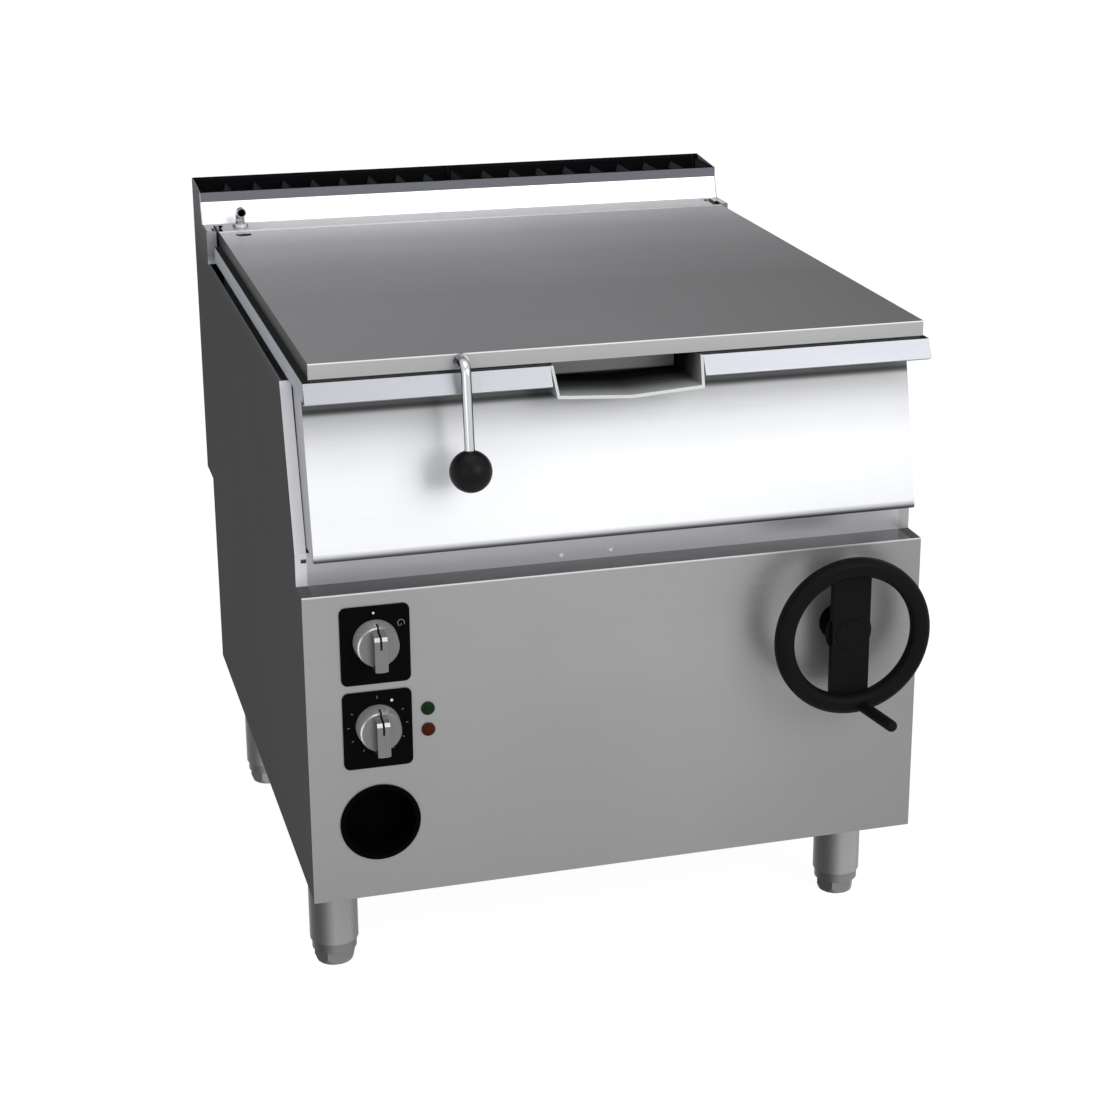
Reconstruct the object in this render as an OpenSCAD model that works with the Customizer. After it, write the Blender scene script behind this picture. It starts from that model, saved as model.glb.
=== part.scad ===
// Electric tilting bratt pan on adjustable legs, in millimetres, +Z up, front towards -Y.
// The origin is on the floor below the middle of the object. Inside the modules, y counts
// from the front panel's face, and from_front() moves the result into the part's frame.

/* [Cabinet] */
// Width over the side panels
body_w = 800; // [760:5:900]
// Depth from the front panel's face to the back of the flue
body_d = 930; // [915:5:960]
// Clear height below the body
leg_h = 155; // [130:5:180]
// Height of the front panel
front_h = 406; // [396:2:412]
// Thickness of the cabinet's steel sheet
sheet_t = 1.5; // [1:0.25:2]
// Width of the folded edge that shows on the side panels
fold_w = 14; // [12:1:15]
// Step back of the shelf above the front panel
shelf_d = 42; // [40:1:44]
// Height of the riser at the back of that shelf
riser_h = 42; // [38:1:44]
// Lean of the side panels' front edge above the riser
slope_d = 64; // [50:2:80]
// Height of the rear ledge above the floor
ledge_z = 850; // [848:1:856]
// Drop from the rear ledge to the side panels' top edge
ledge_drop = 48; // [46:1:50]
// Depth of the rear ledge
ledge_d = 53; // [50:1:56]

/* [Flue] */
// Height of the splash sheet behind the ledge
splash_h = 31; // [26:1:40]
// Lean of the splash sheet
splash_lean = 11; // [8:1:14]
// Depth of the flue grilles
grille_d = 90; // [84:2:96]
// Height of the grilles' front rail
grille_h = 14; // [12:1:18]
// Pitch of the grilles' slats
slat_pitch = 39; // [30:1:48]
// Rise of the flue's back edge over the front rail
flue_rise = 7; // [4:1:10]
// Overhang of the flue behind the lower back panel
flue_step = 66; // [56:2:76]
// Height of the flue's underside above the floor
step_z = 448; // [430:2:460]

/* [Pan] */
// Space for the insulation on each side of the vessel
insul_side = 22; // [15:1:50]
// Distance of the vessel's clear front behind the front panel's face
vessel_in = 66; // [66:1:90]
// Distance of the vessel's clear back from the rim's back edge
vessel_back = 59; // [40:1:90]
// Space for the heating elements below the vessel
element_space = 12; // [10:1:20]
// Thickness of the vessel's bottom plate
bottom_t = 12; // [8:1:14]
// Thickness of the vessel's walls
wall_t = 3; // [2:0.5:3]
// Radius of the vessel's corners and bottom edges
vessel_r = 36; // [20:1:50]
// Height of the lip along the pan's front
lip_h = 22.5; // [18:0.5:24]
// Reach of the lip's top edge in front of the front panel
lip_reach = 16; // [14:1:22]
// Forward lean of the lip
lip_lean = 12; // [8:1:14]
// Thickness of the rim sheet
rim_t = 2; // [1.5:0.5:3]
// Clear width of the pouring spout at its top
spout_w = 184; // [150:2:220]
// Depth of the pouring spout below the rim at its sides
spout_h = 36; // [30:1:38]
// Extra depth of the spout's bottom at its middle
spout_v = 5; // [2:1:7]
// Height of the apron's bottom edge above the shelf
apron_gap = 49; // [47:1:50]
// Distance of the apron's top behind the front panel's face
apron_top_in = 45.4; // [40:0.2:46]

/* [Lid] */
// Height of the lid's skirt
lid_h = 19; // [16:1:24]
// Thickness of the lid's sheets
lid_t = 1.2; // [1:0.1:1.5]
// Gap between the rim and the lid's skirt
lid_gap = 3.5; // [3:0.5:4]
// Diameter of the lid lever's rod
lever_d = 12; // [8:1:14]
// Diameter of the ball on the lever
ball_d = 51; // [40:1:54]
// Forward lean of the lever, in degrees
lever_lean = 8; // [4:1:12]

/* [Tilting gear] */
// Distance of the pan's pivot behind the front panel's face
pivot_in = 28; // [27:0.5:29]
// Height of the pan's pivot above the riser
pivot_up = 17; // [16.5:0.5:18]
// Diameter of the pivot pins
pivot_d = 16; // [12:1:18]
// Length of the crank arms, and distance of the brackets from the pivot
crank_r = 150; // [120:5:170]
// Distance of the cross shaft behind the pivot
cross_back = 82; // [80:1:86]
// Distance of the cross shaft below the pivot
cross_down = 87; // [86:1:90]
// Diameter of the cross shaft
cross_d = 25; // [20:1:26]
// Teeth of the worm wheel
wheel_teeth = 60;
// Module of the worm gear
gear_module = 2;
// Pitch diameter of the worm
worm_d = 28; // [27:0.5:29]
// Diameter of the handwheel's shaft
drive_d = 20; // [16:1:21]
// Distance of the handwheel's axis from the side
wheel_in = 113; // [111:1:115]
// Radial running clearance of the pins and shafts
run_gap = 0.05; // [0.02:0.01:0.1]
// Radial clearance of the links' upper eyes
link_gap = 0.3; // [0.2:0.1:0.5]

/* [Handwheel] */
// Outer diameter of the handwheel
hand_d = 208; // [190:2:216]
// Radial width of its ring
ring_w = 24; // [18:1:28]
// Depth of its ring
ring_t = 24; // [18:1:28]
// Distance of the ring's middle in front of the panel
hand_out = 55; // [50:1:64]
// Width of its flat spoke
spoke_w = 50; // [40:1:56]
// Reach of the crank grip's tip in front of the panel
grip_reach = 145; // [130:5:160]
// Diameter of the crank grip
grip_d = 15; // [12:1:18]
// Outward splay of the crank grip, in degrees
grip_splay = 9; // [0:1:12]

/* [Controls] */
// Width of a control plate
plate_w = 86; // [76:1:96]
// Height of a control plate
plate_h = 101; // [90:1:108]
// Distance of the control plates' middle line from the side
plate_in = 86.5; // [80:0.5:95]
// Distance of the selector plate's middle below the front panel's top
plate_down = 68; // [60:1:76]
// Distance between the middles of the two plates
plate_pitch = 111; // [109:1:114]
// Diameter of a knob
knob_d = 55; // [50:1:60]
// Depth of a knob with its grip bar
knob_h = 40; // [32:1:44]
// Height of a knob's middle above its plate's middle
knob_up = 5.5; // [0:0.5:8]
// Diameter of a pilot light's lens
pilot_d = 17; // [12:1:20]
// Outer diameter of the round hand recess
recess_d = 101; // [90:1:104]
// Depth of the round hand recess
recess_deep = 45; // [30:1:60]

/* [Legs] */
// Diameter of a leg
leg_d = 64; // [50:2:70]
// Distance of the legs' axes from the sides
leg_in = 45; // [42:1:60]
// Distance of the legs' axes from the front panel and the back panel
leg_back = 140; // [120:5:160]
// Height of a foot below the leg
foot_h = 33; // [28:1:40]
// Travel of a foot out of its leg
foot_travel = 25; // [15:1:40]

/* [Connections] */
// Diameter of the hole through the cable gland
gland_bore = 19; // [12:1:22]
// Diameter of the water inlet's threaded end
inlet_d = 20.96; // [18:0.02:26]
// Height of both connections above the body's bottom
service_up = 75; // [60:1:100]
// Diameter of the water tap's tube
tap_d = 14; // [10:1:16]
// Distance of the tap's tube from the side
tap_in = 53; // [50:1:60]
// Distance of the cable gland from the side
gland_in = 210; // [140:5:300]

/* [Hidden] */
$fn = 48;
// One overrun for every cut
cut = 5;
// Gap between a moving piece and the face that it runs beside
face_gap = 0.3;
// Gap between the sides of arms, ears and hubs
side_gap = 1;

// Places along Y, from the front panel's face
front_y = (grip_reach - body_d) / 2;
grille_y = body_d - grille_d;
splash_y = grille_y - splash_lean;
ledge_y = splash_y - ledge_d;
slope_y = shelf_d + slope_d;
back_y = body_d - flue_step;

// Heights above the floor
shelf_z = leg_h + front_h;
riser_z = shelf_z + riser_h;
side_z = ledge_z - ledge_drop;
splash_z = ledge_z + splash_h;
grille_z = splash_z + grille_h;
flue_z = grille_z + flue_rise;

// Half widths, with the gaps beside the moving pan and the lid's overhang of its rim
half_w = body_w / 2;
wheel_x = half_w - wheel_in;
plate_x = half_w - plate_in;
tap_x = half_w - tap_in;
skin_x = half_w - sheet_t;
fold_x = half_w - fold_w;
casing_gap = 6;
apron_gap_x = 1;
rim_inset = 9;
lid_inset = 7;
casing_x = fold_x - casing_gap;
apron_x = fold_x - apron_gap_x;
rim_x = half_w - rim_inset;
lid_x = rim_x - lid_inset;

// The pan and its pivot
rim_drop = 20.5;
rim_back_gap = 11;
casing_back_gap = 5;
pivot = [pivot_in, riser_z + pivot_up];
rim_z = ledge_z - rim_drop;
rim_low_z = rim_z - lip_h;
rim_back_y = ledge_y - rim_back_gap;
flange_t = 4;
casing_z = pivot[1] + pivot_d + flange_t;
casing_y = rim_back_y - casing_back_gap;
vessel_under_z = casing_z + sheet_t + element_space;
vessel_z = vessel_under_z + bottom_t;
vessel_h = rim_z - rim_t - vessel_z;
vessel_w = 2 * (casing_x - insul_side - wall_t);
vessel_y = vessel_in;
vessel_d = rim_back_y - vessel_back - vessel_y;

// The lid and its hinge
lid_set_back = 3;
hinge_rod_d = 6;
lid_z = rim_z + lid_gap;
lid_top_z = lid_z + lid_h;
lid_front_y = lid_set_back - lip_reach;
lid_back_y = rim_back_y - lid_set_back;
hinge = [splash_y - 2.5 * hinge_rod_d, ledge_z - hinge_rod_d - side_gap];

// The tilting gear
cross = [pivot[0] + cross_back, pivot[1] - cross_down];
wheel_r = wheel_teeth * gear_module / 2;
worm_r = worm_d / 2;
drive_z = cross[1] - wheel_r - worm_r;
crank_pin_d = 12;
arm_in = 176;
arm_x = half_w - arm_in;
arm_t = 10;
link_x = arm_x + arm_t + 2 * side_gap;
link_t = 8;

// Bent sheet: a path's inner line lies t to its left, with mitred corners
function unit(v) = v / norm(v);
function left_of(v) = [-v[1], v[0]];
function side_normal(p, i) = left_of(unit(p[i + 1] - p[i]));
function mitre(p, i, t) =
    let (last = len(p) - 1,
         before = side_normal(p, max(i - 1, 0)),
         after = side_normal(p, min(i, last - 1)))
    p[i] + t * (before + after) / (1 + before * after);
function sheet_outline(p, t) =
    concat(p, [for (i = [len(p) - 1:-1:0]) mitre(p, i, t)]);
function arc_points(centre, r, from, to, steps) =
    [for (i = [0:steps]) let (a = from + (to - from) * i / steps)
        centre + r * [cos(a), sin(a)]];

module from_front() {
    translate([0, front_y, 0])
        children();
}

module each_side() {
    children();
    mirror([1, 0, 0])
        children();
}

// Extrudes a profile drawn in Y and Z along X
module along_x(x, length) {
    translate([x, 0, 0])
        rotate([90, 0, 90])
            linear_extrude(length)
                children();
}

// Extrudes a profile drawn in X and Z along Y
module along_y(y, length) {
    translate([0, y + length, 0])
        rotate([90, 0, 0])
            linear_extrude(length)
                children();
}

// Round pin along X at a place in Y and Z
module pin_x(x, length, place, r) {
    translate([x, place[0], place[1]])
        rotate([0, 90, 0])
            cylinder(h = length, r = r);
}

// Round pin along Y at a place in X and Z
module pin_y(y, length, place, r) {
    translate([place[0], y + length, place[1]])
        rotate([90, 0, 0])
            cylinder(h = length, r = r);
}

module rounded_rect(w, h, r) {
    square([w - 2 * r, h], center = true);
    square([w, h - 2 * r], center = true);
    for (x = [-1, 1], y = [-1, 1])
        translate([x * (w / 2 - r), y * (h / 2 - r)])
            circle(r);
}

// Places a piece that turns about Y: its own Z points to the front, its Y points up
module facing_front(x, y, z) {
    translate([x, y, z])
        rotate([90, 0, 0])
            children();
}

// The cabinet

side_edge = [
    [ledge_y, ledge_z], [ledge_y, side_z], [slope_y, side_z],
    [shelf_d, riser_z], [shelf_d, shelf_z], [sheet_t, shelf_z]
];
side_outline = concat(
    [[back_y, leg_h], [back_y, step_z], [body_d, step_z], [body_d, flue_z],
     [grille_y, grille_z], [grille_y, splash_z], [splash_y, ledge_z]],
    side_edge, [[sheet_t, leg_h]]);

hem_w = 3;
peg_slot_w = 6.5;
peg_slot_h = 5;

module side_panel() {
    color("#5a5a5c") from_front() difference() {
        union() {
            along_x(skin_x, sheet_t)
                polygon(side_outline);
            along_x(half_w - hem_w, hem_w)
                polygon(sheet_outline(side_edge, sheet_t));
            along_x(fold_x, fold_w) {
                polygon(sheet_outline([for (i = [0:1]) side_edge[i]], sheet_t));
                polygon(sheet_outline([for (i = [2:5]) side_edge[i]], sheet_t));
            }
        }
        translate([fold_x + sheet_t / 4, shelf_d - cut, riser_z - 2.5 * peg_slot_h])
            cube([peg_slot_w, sheet_t + 2 * cut, peg_slot_h]);
    }
}

module side_panel_right() {
    side_panel();
}

module side_panel_left() {
    mirror([1, 0, 0])
        side_panel();
}

plate_z = shelf_z - plate_down - plate_pitch;
recess_z = plate_z - plate_h / 2 - recess_d * 0.745;
recess_place = [-plate_x, recess_z];
spindle_d = knob_d / 10;
pilot_x = plate_x - plate_w / 2 - 1.18 * pilot_d;
pilot_neck_d = 0.7 * pilot_d;
bush_wall = 6;
bush_d = drive_d + 2 * bush_wall;

module front_panel() {
    color("#8f9092") from_front() difference() {
        translate([-half_w, 0, leg_h])
            cube([body_w, sheet_t, front_h]);
        for (z = [plate_z, plate_z + plate_pitch])
            pin_y(-cut, sheet_t + 2 * cut, [-plate_x, z + knob_up], spindle_d);
        for (place = pilot_places)
            pin_y(-cut, sheet_t + 2 * cut, place, pilot_neck_d / 2);
        pin_y(-cut, sheet_t + 2 * cut, recess_place, recess_cup_r);
        pin_y(-cut, sheet_t + 2 * cut, [wheel_x, drive_z], bush_d / 2);
    }
}

shelf_top_d = 34;
shelf_back_y = shelf_d + shelf_top_d;

module front_shelf() {
    color("#8a8b8d") from_front()
        along_x(-fold_x, 2 * fold_x)
            polygon(sheet_outline([
                [shelf_back_y, riser_z], [shelf_d, riser_z], [shelf_d, shelf_z],
                [sheet_t, shelf_z]
            ], sheet_t));
}

module base_plate() {
    color("#7c7c7e") from_front()
        translate([-skin_x, sheet_t, leg_h])
            cube([2 * skin_x, back_y - 2 * sheet_t, sheet_t]);
}

vent_w = 60;
vent_h = 8;
vent_rows = 5;
vent_in = 40;
gland_place = [gland_in - half_w, leg_h + service_up];
inlet_place = [-tap_x, leg_h + service_up];
gland_wall = 3.5;
gland_thread_r = gland_bore / 2 + gland_wall;
pipe_d = tap_d;

module back_panel() {
    color("#6c6c6e") from_front() difference() {
        translate([-skin_x, back_y - sheet_t, leg_h])
            cube([2 * skin_x, sheet_t, step_z - leg_h + sheet_t]);
        along_y(back_y - sheet_t - cut, sheet_t + 2 * cut)
            for (column = [0:2], row = [0:vent_rows - 1])
                translate([vent_in + 1.6 * vent_w * column, step_z - vent_in - 2.2 * vent_h * row])
                    rounded_rect(vent_w, vent_h, 0.45 * vent_h);
        pin_y(back_y - sheet_t - cut, sheet_t + 2 * cut, gland_place, gland_thread_r);
        pin_y(back_y - sheet_t - cut, sheet_t + 2 * cut, inlet_place, pipe_d / 2);
    }
}

seat_w = grille_d / 9;

module flue_back() {
    color("#6c6c6e") from_front() {
        along_x(-skin_x, 2 * skin_x)
            polygon(sheet_outline([[back_y, step_z], [body_d, step_z], [body_d, flue_z]],
                                  sheet_t));
        translate([-skin_x, body_d - seat_w - sheet_t, splash_z - sheet_t])
            cube([2 * skin_x, seat_w + sheet_t, sheet_t]);
    }
}

// The slit and the wider hole at each rear corner let the hinge arms lift out
slit_w = 10;
slit_x = fold_x - slit_w;
notch_w = 13.5;
notch_d = 3.8 * hinge_rod_d;
notch_y = hinge[0] - 2.4 * hinge_rod_d;

module ledge() {
    color("#d5d7da") from_front() difference() {
        along_x(-skin_x, 2 * skin_x)
            polygon(sheet_outline([
                [grille_y + seat_w, splash_z], [grille_y, splash_z], [splash_y, ledge_z],
                [ledge_y, ledge_z], [ledge_y, side_z + fold_w / 2]
            ], sheet_t));
        each_side() {
            translate([fold_x, ledge_y - cut, side_z])
                cube([fold_w, cut + sheet_t, ledge_drop + cut]);
            translate([slit_x, ledge_y - cut, side_z])
                cube([slit_w + cut, cut + notch_y - ledge_y + cut, ledge_drop + cut]);
            translate([fold_x - notch_w, notch_y, ledge_z - cut])
                cube([notch_w, notch_d, 2 * cut]);
        }
        pin_z([-tap_x, tap_y], ledge_z, 0.7 * tap_d);
    }
}

// Round hole down through a sheet whose top is at z
module pin_z(place, z, r) {
    translate([place[0], place[1], z - cut])
        cylinder(h = 2 * cut, r = r);
}

// The flue grilles: a frame with slats from front to back and raised tabs behind

grille_w = skin_x - 2 * face_gap;
grille_rail = 4;
slat_t = 3;
slat_count = floor((grille_w - 2 * grille_rail) / slat_pitch);
tab_w = 2 * grille_rail;

module grille() {
    depth = grille_d - sheet_t - face_gap;
    pitch = (grille_w - grille_rail) / slat_count;
    translate([0, grille_y, splash_z]) {
        cube([grille_w, grille_rail, grille_h]);
        translate([0, depth - grille_rail, 0])
            cube([grille_w, grille_rail, grille_h + flue_rise / 3]);
        for (x = [0, grille_w - grille_rail])
            translate([x, 0, 0])
                cube([grille_rail, depth, grille_h]);
        for (i = [1:slat_count - 1])
            along_y(0, depth)
                translate([i * pitch, grille_h / 8])
                    polygon([[0, 0], [slat_t, 0], [slat_t + grille_h / 4, 0.7 * grille_h],
                             [grille_h / 4, 0.7 * grille_h]]);
        for (x = [0, grille_w - tab_w])
            translate([x, depth - 2 * grille_rail, 0])
                cube([tab_w, 2 * grille_rail, grille_h + flue_rise]);
    }
}

module grille_right() {
    color("#1c1c20") from_front()
        translate([face_gap / 2, 0, 0])
            grille();
}

module grille_left() {
    color("#1c1c20") from_front()
        translate([-grille_w - face_gap / 2, 0, 0])
            grille();
}

// Beams between the side panels

beam_t = 3;
front_beam_gap = 4;
front_beam_y = shelf_d + front_beam_gap;
front_beam_h = 13.5;
cross_beam_back = 40;
cross_beam_y = cross[0] + cross_beam_back;
cross_beam_w = 30;
cross_beam_h = 50;
cross_beam_z = drive_z + 0.42 * cross_beam_h;

module beam(y, z, depth, height) {
    along_x(-skin_x, 2 * skin_x)
        polygon(sheet_outline([[y + depth, z - height], [y + depth, z], [y, z],
                               [y, z - height]], beam_t));
}

module front_beam() {
    color("#777a7d") from_front()
        beam(front_beam_y, riser_z - sheet_t, shelf_back_y - front_beam_y, front_beam_h);
}

module cross_beam() {
    color("#777a7d") from_front()
        along_x(-skin_x, 2 * skin_x)
            polygon(sheet_outline([
                [cross_beam_y + cross_beam_w, cross_beam_z], [cross_beam_y, cross_beam_z],
                [cross_beam_y, cross_beam_z - cross_beam_h],
                [cross_beam_y + cross_beam_w, cross_beam_z - cross_beam_h]
            ], beam_t));
}

// The pan's pivot: blocks on the riser, ears with pins below the pan

ear_wall = 6;
ear_r = pivot_d / 2 + ear_wall;
block_in = 70;
block_x = half_w - block_in;
block_t = 19;
ear_x = block_x + block_t + side_gap;
ear_t = 6;

module pivot_blocks() {
    color("#8b8d90") from_front() each_side()
        difference() {
            along_x(block_x, block_t) {
                translate(pivot)
                    circle(ear_r);
                polygon([
                    [pivot[0], pivot[1] - ear_r], [shelf_d + sheet_t, pivot[1] - ear_r],
                    [shelf_d + sheet_t, riser_z], [shelf_back_y, riser_z],
                    [shelf_back_y, pivot[1] + ear_r], [pivot[0], pivot[1] + ear_r]
                ]);
            }
            pin_x(block_x - cut, block_t + 2 * cut, pivot, pivot_d / 2 + run_gap);
        }
}

module hinge_ears() {
    flange_y = pivot[0] + pivot_d;
    flange_d = 5 * pivot_d;
    color("#8b8d90") from_front() each_side() {
        along_x(ear_x, ear_t) {
            translate(pivot)
                circle(ear_r);
            polygon([
                [pivot[0] - ear_r, pivot[1]], [pivot[0] - ear_r / 2, casing_z],
                [flange_y + flange_d, casing_z], [flange_y + flange_d, casing_z - flange_t],
                [pivot[0] + ear_r, pivot[1]]
            ]);
        }
        translate([ear_x, flange_y, casing_z - flange_t])
            cube([casing_x - ear_x - flange_t, flange_d, flange_t]);
        pin_x(block_x, ear_x - block_x + ear_t, pivot, pivot_d / 2);
    }
}

// The worm gear: the shaft runs in the panel's bush and in a bearing on the cross beam

bracket_t = 14;
bracket_wall = 9.5;
bracket_foot = 12;
bracket_r = cross_d / 2 + bracket_wall;
hub_t = 26;
bracket_in = 124;
bracket_right_x = wheel_x + hub_t - side_gap;
bracket_left_x = bracket_in - half_w;
bearing_wall = 5;
bearing_r = drive_d / 2 + bearing_wall;
bearing_t = 14;

module shaft_brackets() {
    color("#8b8d90") from_front()
        for (x = [bracket_left_x, bracket_right_x])
            difference() {
                along_x(x, bracket_t) {
                    translate(cross)
                        circle(bracket_r);
                    polygon([
                        [cross[0] - bracket_r * 0.9, cross[1] - bracket_r * 0.4],
                        [cross_beam_y - bracket_foot, cross_beam_z - cross_beam_h + beam_t],
                        [cross_beam_y, cross_beam_z - cross_beam_h + beam_t],
                        [cross_beam_y, cross_beam_z],
                        [cross[0] + bracket_r * 0.9, cross[1] + bracket_r * 0.4]
                    ]);
                }
                pin_x(x - cut, bracket_t + 2 * cut, cross, cross_d / 2 + run_gap);
            }
}

bush_out = 20;
bush_flange = 8;
drive_place = [wheel_x, drive_z];

module shaft_bearings() {
    color("#1c1c1e") from_front() difference() {
        union() {
            pin_y(-bush_out, bush_out, drive_place, bush_d / 2 + bush_flange);
            pin_y(0, bearing_t, drive_place, bush_d / 2);
            pin_y(cross_beam_y - bearing_t, bearing_t, drive_place, bearing_r);
        }
        pin_y(-cut - bush_out, cross_beam_y + 2 * cut + bush_out, drive_place,
              drive_d / 2 + run_gap);
    }
}

module drive_shaft() {
    color("#a5a7aa") from_front()
        pin_y(spoke_t - hand_out, cross_beam_y - side_gap + hand_out - spoke_t, drive_place,
              drive_d / 2);
}

// Single-start left-hand worm: a cam outline twisted along the shaft
worm_pitch = PI * gear_module;
worm_turns = 6;
worm_length = worm_turns * worm_pitch;
thread_half_share = 0.066;
thread_foot_share = 0.32;
thread_backlash = 0.25;
worm_root_r = worm_r - 1.25 * gear_module;
worm_tip_r = worm_r + gear_module;

function thread_r(turn) =
    let (t = abs(turn), f = (t - thread_half_share) / (thread_foot_share - thread_half_share))
    worm_tip_r - (worm_tip_r - worm_root_r) * min(max(f, 0), 1);

module worm() {
    steps = 24;
    outline = [for (i = [0:steps - 1]) let (turn = i / steps - 0.5)
        thread_r(turn) * [cos(360 * turn), sin(360 * turn)]];
    color("#c9a45c") from_front() difference() {
        translate([wheel_x, cross[0] - worm_length / 2, drive_z])
            rotate([-90, 0, 0])
                rotate([0, 0, 180 * worm_turns - 90])
                    linear_extrude(worm_length, twist = 360 * worm_turns,
                                   slices = 12 * worm_turns, $fn = steps)
                        polygon(outline);
        pin_y(cross[0] - worm_length, 2 * worm_length, drive_place, drive_d / 2);
    }
}

// Straight teeth, with a gap between two of them at the worm
function tooth(i) =
    let (step = 360 / wheel_teeth, a = -90 + step * (i + 0.5),
         root = wheel_r - 1.25 * gear_module, tip = wheel_r + gear_module)
    [for (p = [[root, -0.34], [tip, -0.1], [tip, 0.1], [root, 0.34]])
        p[0] * [cos(a + step * p[1]), sin(a + step * p[1])]];

wheel_t = 7 * gear_module;

module worm_wheel() {
    color("#b08d57") from_front() difference() {
        union() {
            along_x(wheel_x - wheel_t / 2, wheel_t)
                translate(cross)
                    polygon([for (i = [0:wheel_teeth - 1]) each tooth(i)]);
            pin_x(wheel_x - hub_t / 2, hub_t, cross, crank_hub_r);
        }
        pin_x(wheel_x - hub_t, 2 * hub_t, cross, cross_d / 2);
        for (a = [0:60:300])
            pin_x(wheel_x - hub_t, 2 * hub_t,
                  cross + 0.65 * wheel_r * [cos(a), sin(a)], wheel_r / 8);
    }
}

module cross_shaft() {
    color("#a5a7aa") from_front()
        pin_x(bracket_left_x - beam_t * 2, bracket_right_x - bracket_left_x + bracket_t
              + beam_t * 4, cross, cross_d / 2);
}

// Crank arms and links: with the pan's brackets they form a parallelogram

crank_pin = [cross[0] + crank_r, cross[1]];
bracket_pin = [pivot[0] + crank_r, pivot[1]];
crank_wall = 9;
eye_wall = 6.5;
crank_hub_r = cross_d / 2 + crank_wall;
crank_eye_r = crank_pin_d / 2 + eye_wall;

module crank_arms() {
    color("#8b8d90") from_front() each_side()
        difference() {
            union() {
                along_x(arm_x, arm_t) {
                    translate(cross)
                        circle(crank_hub_r);
                    translate(crank_pin)
                        circle(crank_eye_r);
                    polygon([
                        cross + [0, crank_hub_r], cross - [0, crank_hub_r],
                        crank_pin - [0, crank_eye_r], crank_pin + [0, crank_eye_r]
                    ]);
                }
                pin_x(arm_x, link_x - arm_x + link_t + side_gap, crank_pin, crank_pin_d / 2);
            }
            pin_x(arm_x - cut, arm_t + 2 * cut, cross, cross_d / 2);
        }
}

module links() {
    along = unit(bracket_pin - crank_pin);
    across = 0.76 * crank_eye_r * left_of(along);
    color("#a5a7aa") from_front() each_side()
        difference() {
            along_x(link_x, link_t) {
                for (place = [crank_pin, bracket_pin])
                    translate(place)
                        circle(crank_eye_r);
                polygon([crank_pin + across, crank_pin - across, bracket_pin - across,
                         bracket_pin + across]);
            }
            pin_x(link_x - cut, link_t + 2 * cut, crank_pin, crank_pin_d / 2 + run_gap);
            pin_x(link_x - cut, link_t + 2 * cut, bracket_pin, crank_pin_d / 2 + link_gap);
        }
}

module link_brackets() {
    fork_t = 6;
    fork_in = link_x - side_gap - fork_t;
    fork_out = link_x + link_t + side_gap;
    color("#8b8d90") from_front() each_side() {
        for (x = [fork_in, fork_out])
            along_x(x, fork_t) {
                translate(bracket_pin)
                    circle(crank_eye_r);
                polygon([bracket_pin - [crank_eye_r, 0], bracket_pin + [crank_eye_r, 0],
                         [bracket_pin[0] + 2 * crank_eye_r, casing_z],
                         [bracket_pin[0] - 2 * crank_eye_r, casing_z]]);
            }
        translate([fork_in, bracket_pin[0] - 2 * crank_eye_r, casing_z - flange_t])
            cube([fork_out + fork_t - fork_in, 4 * crank_eye_r, flange_t]);
        pin_x(fork_in, fork_out + fork_t - fork_in, bracket_pin, crank_pin_d / 2);
    }
}

// The handwheel, drawn in its own frame with Z towards the user

spoke_t = 12;
ring_r = (hand_d - ring_w) / 2;
spoke_back = 4;
spoke_front = hand_out - spoke_back;
hand_hub_r = 0.62 * spoke_w;
plug_r = 0.41 * spoke_w;
plug_h = 1.2;
hub_sleeve_r = 1.15 * drive_d;

module handwheel() {
    color("#141416") from_front() facing_front(wheel_x, 0, drive_z)
        difference() {
            union() {
                translate([0, 0, hand_out])
                    rotate_extrude()
                        translate([ring_r, 0])
                            rounded_rect(ring_w, ring_t, 0.4 * ring_w);
                translate([-spoke_w / 2, -ring_r, spoke_front - spoke_t])
                    cube([spoke_w, 2 * ring_r, spoke_t]);
                rotate_extrude()
                    hub_profile();
            }
            cylinder(h = hand_out - spoke_t, r = drive_d / 2);
            facing_grip(hand_out - ring_t)
                cylinder(h = ring_t * 2, r = grip_pin_r);
        }
}

// Half of the hub's section: a flat plug in the spoke, and a cone behind it
module hub_profile() {
    back = bush_out + 2 * side_gap;
    foot = spoke_front - 0.8 * spoke_t;
    polygon([
        [0, back], [hub_sleeve_r, back], [hub_sleeve_r, (back + foot) / 2],
        [hand_hub_r, foot - spoke_t / 4], [hand_hub_r, foot], [plug_r, foot],
        [plug_r, spoke_front + plug_h / 2], [plug_r - plug_h / 2, spoke_front + plug_h],
        [0, spoke_front + plug_h]
    ]);
}

// The crank grip spins on a pin at the foot of the spoke, splayed outwards
grip_pin_r = 0.3 * grip_d;
grip_shift = 5;
grip_x = wheel_x + grip_shift;
grip_z = drive_z - ring_r;
grip_foot = hand_out + ring_t / 2;

module facing_grip(z) {
    translate([grip_x - wheel_x, grip_z - drive_z, z])
        rotate([0, grip_splay, 0])
            children();
}

module grip_pin() {
    length = grip_reach - grip_foot - grip_d;
    color("#3a3a3c") from_front() facing_front(wheel_x, 0, drive_z)
        difference() {
            facing_grip(hand_out - ring_t)
                cylinder(h = ring_t * 1.5 + length, r = grip_pin_r);
            translate([0, 0, -cut])
                linear_extrude(hand_out - ring_t / 2 + cut)
                    square(2 * hand_d, center = true);
        }
}

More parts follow.
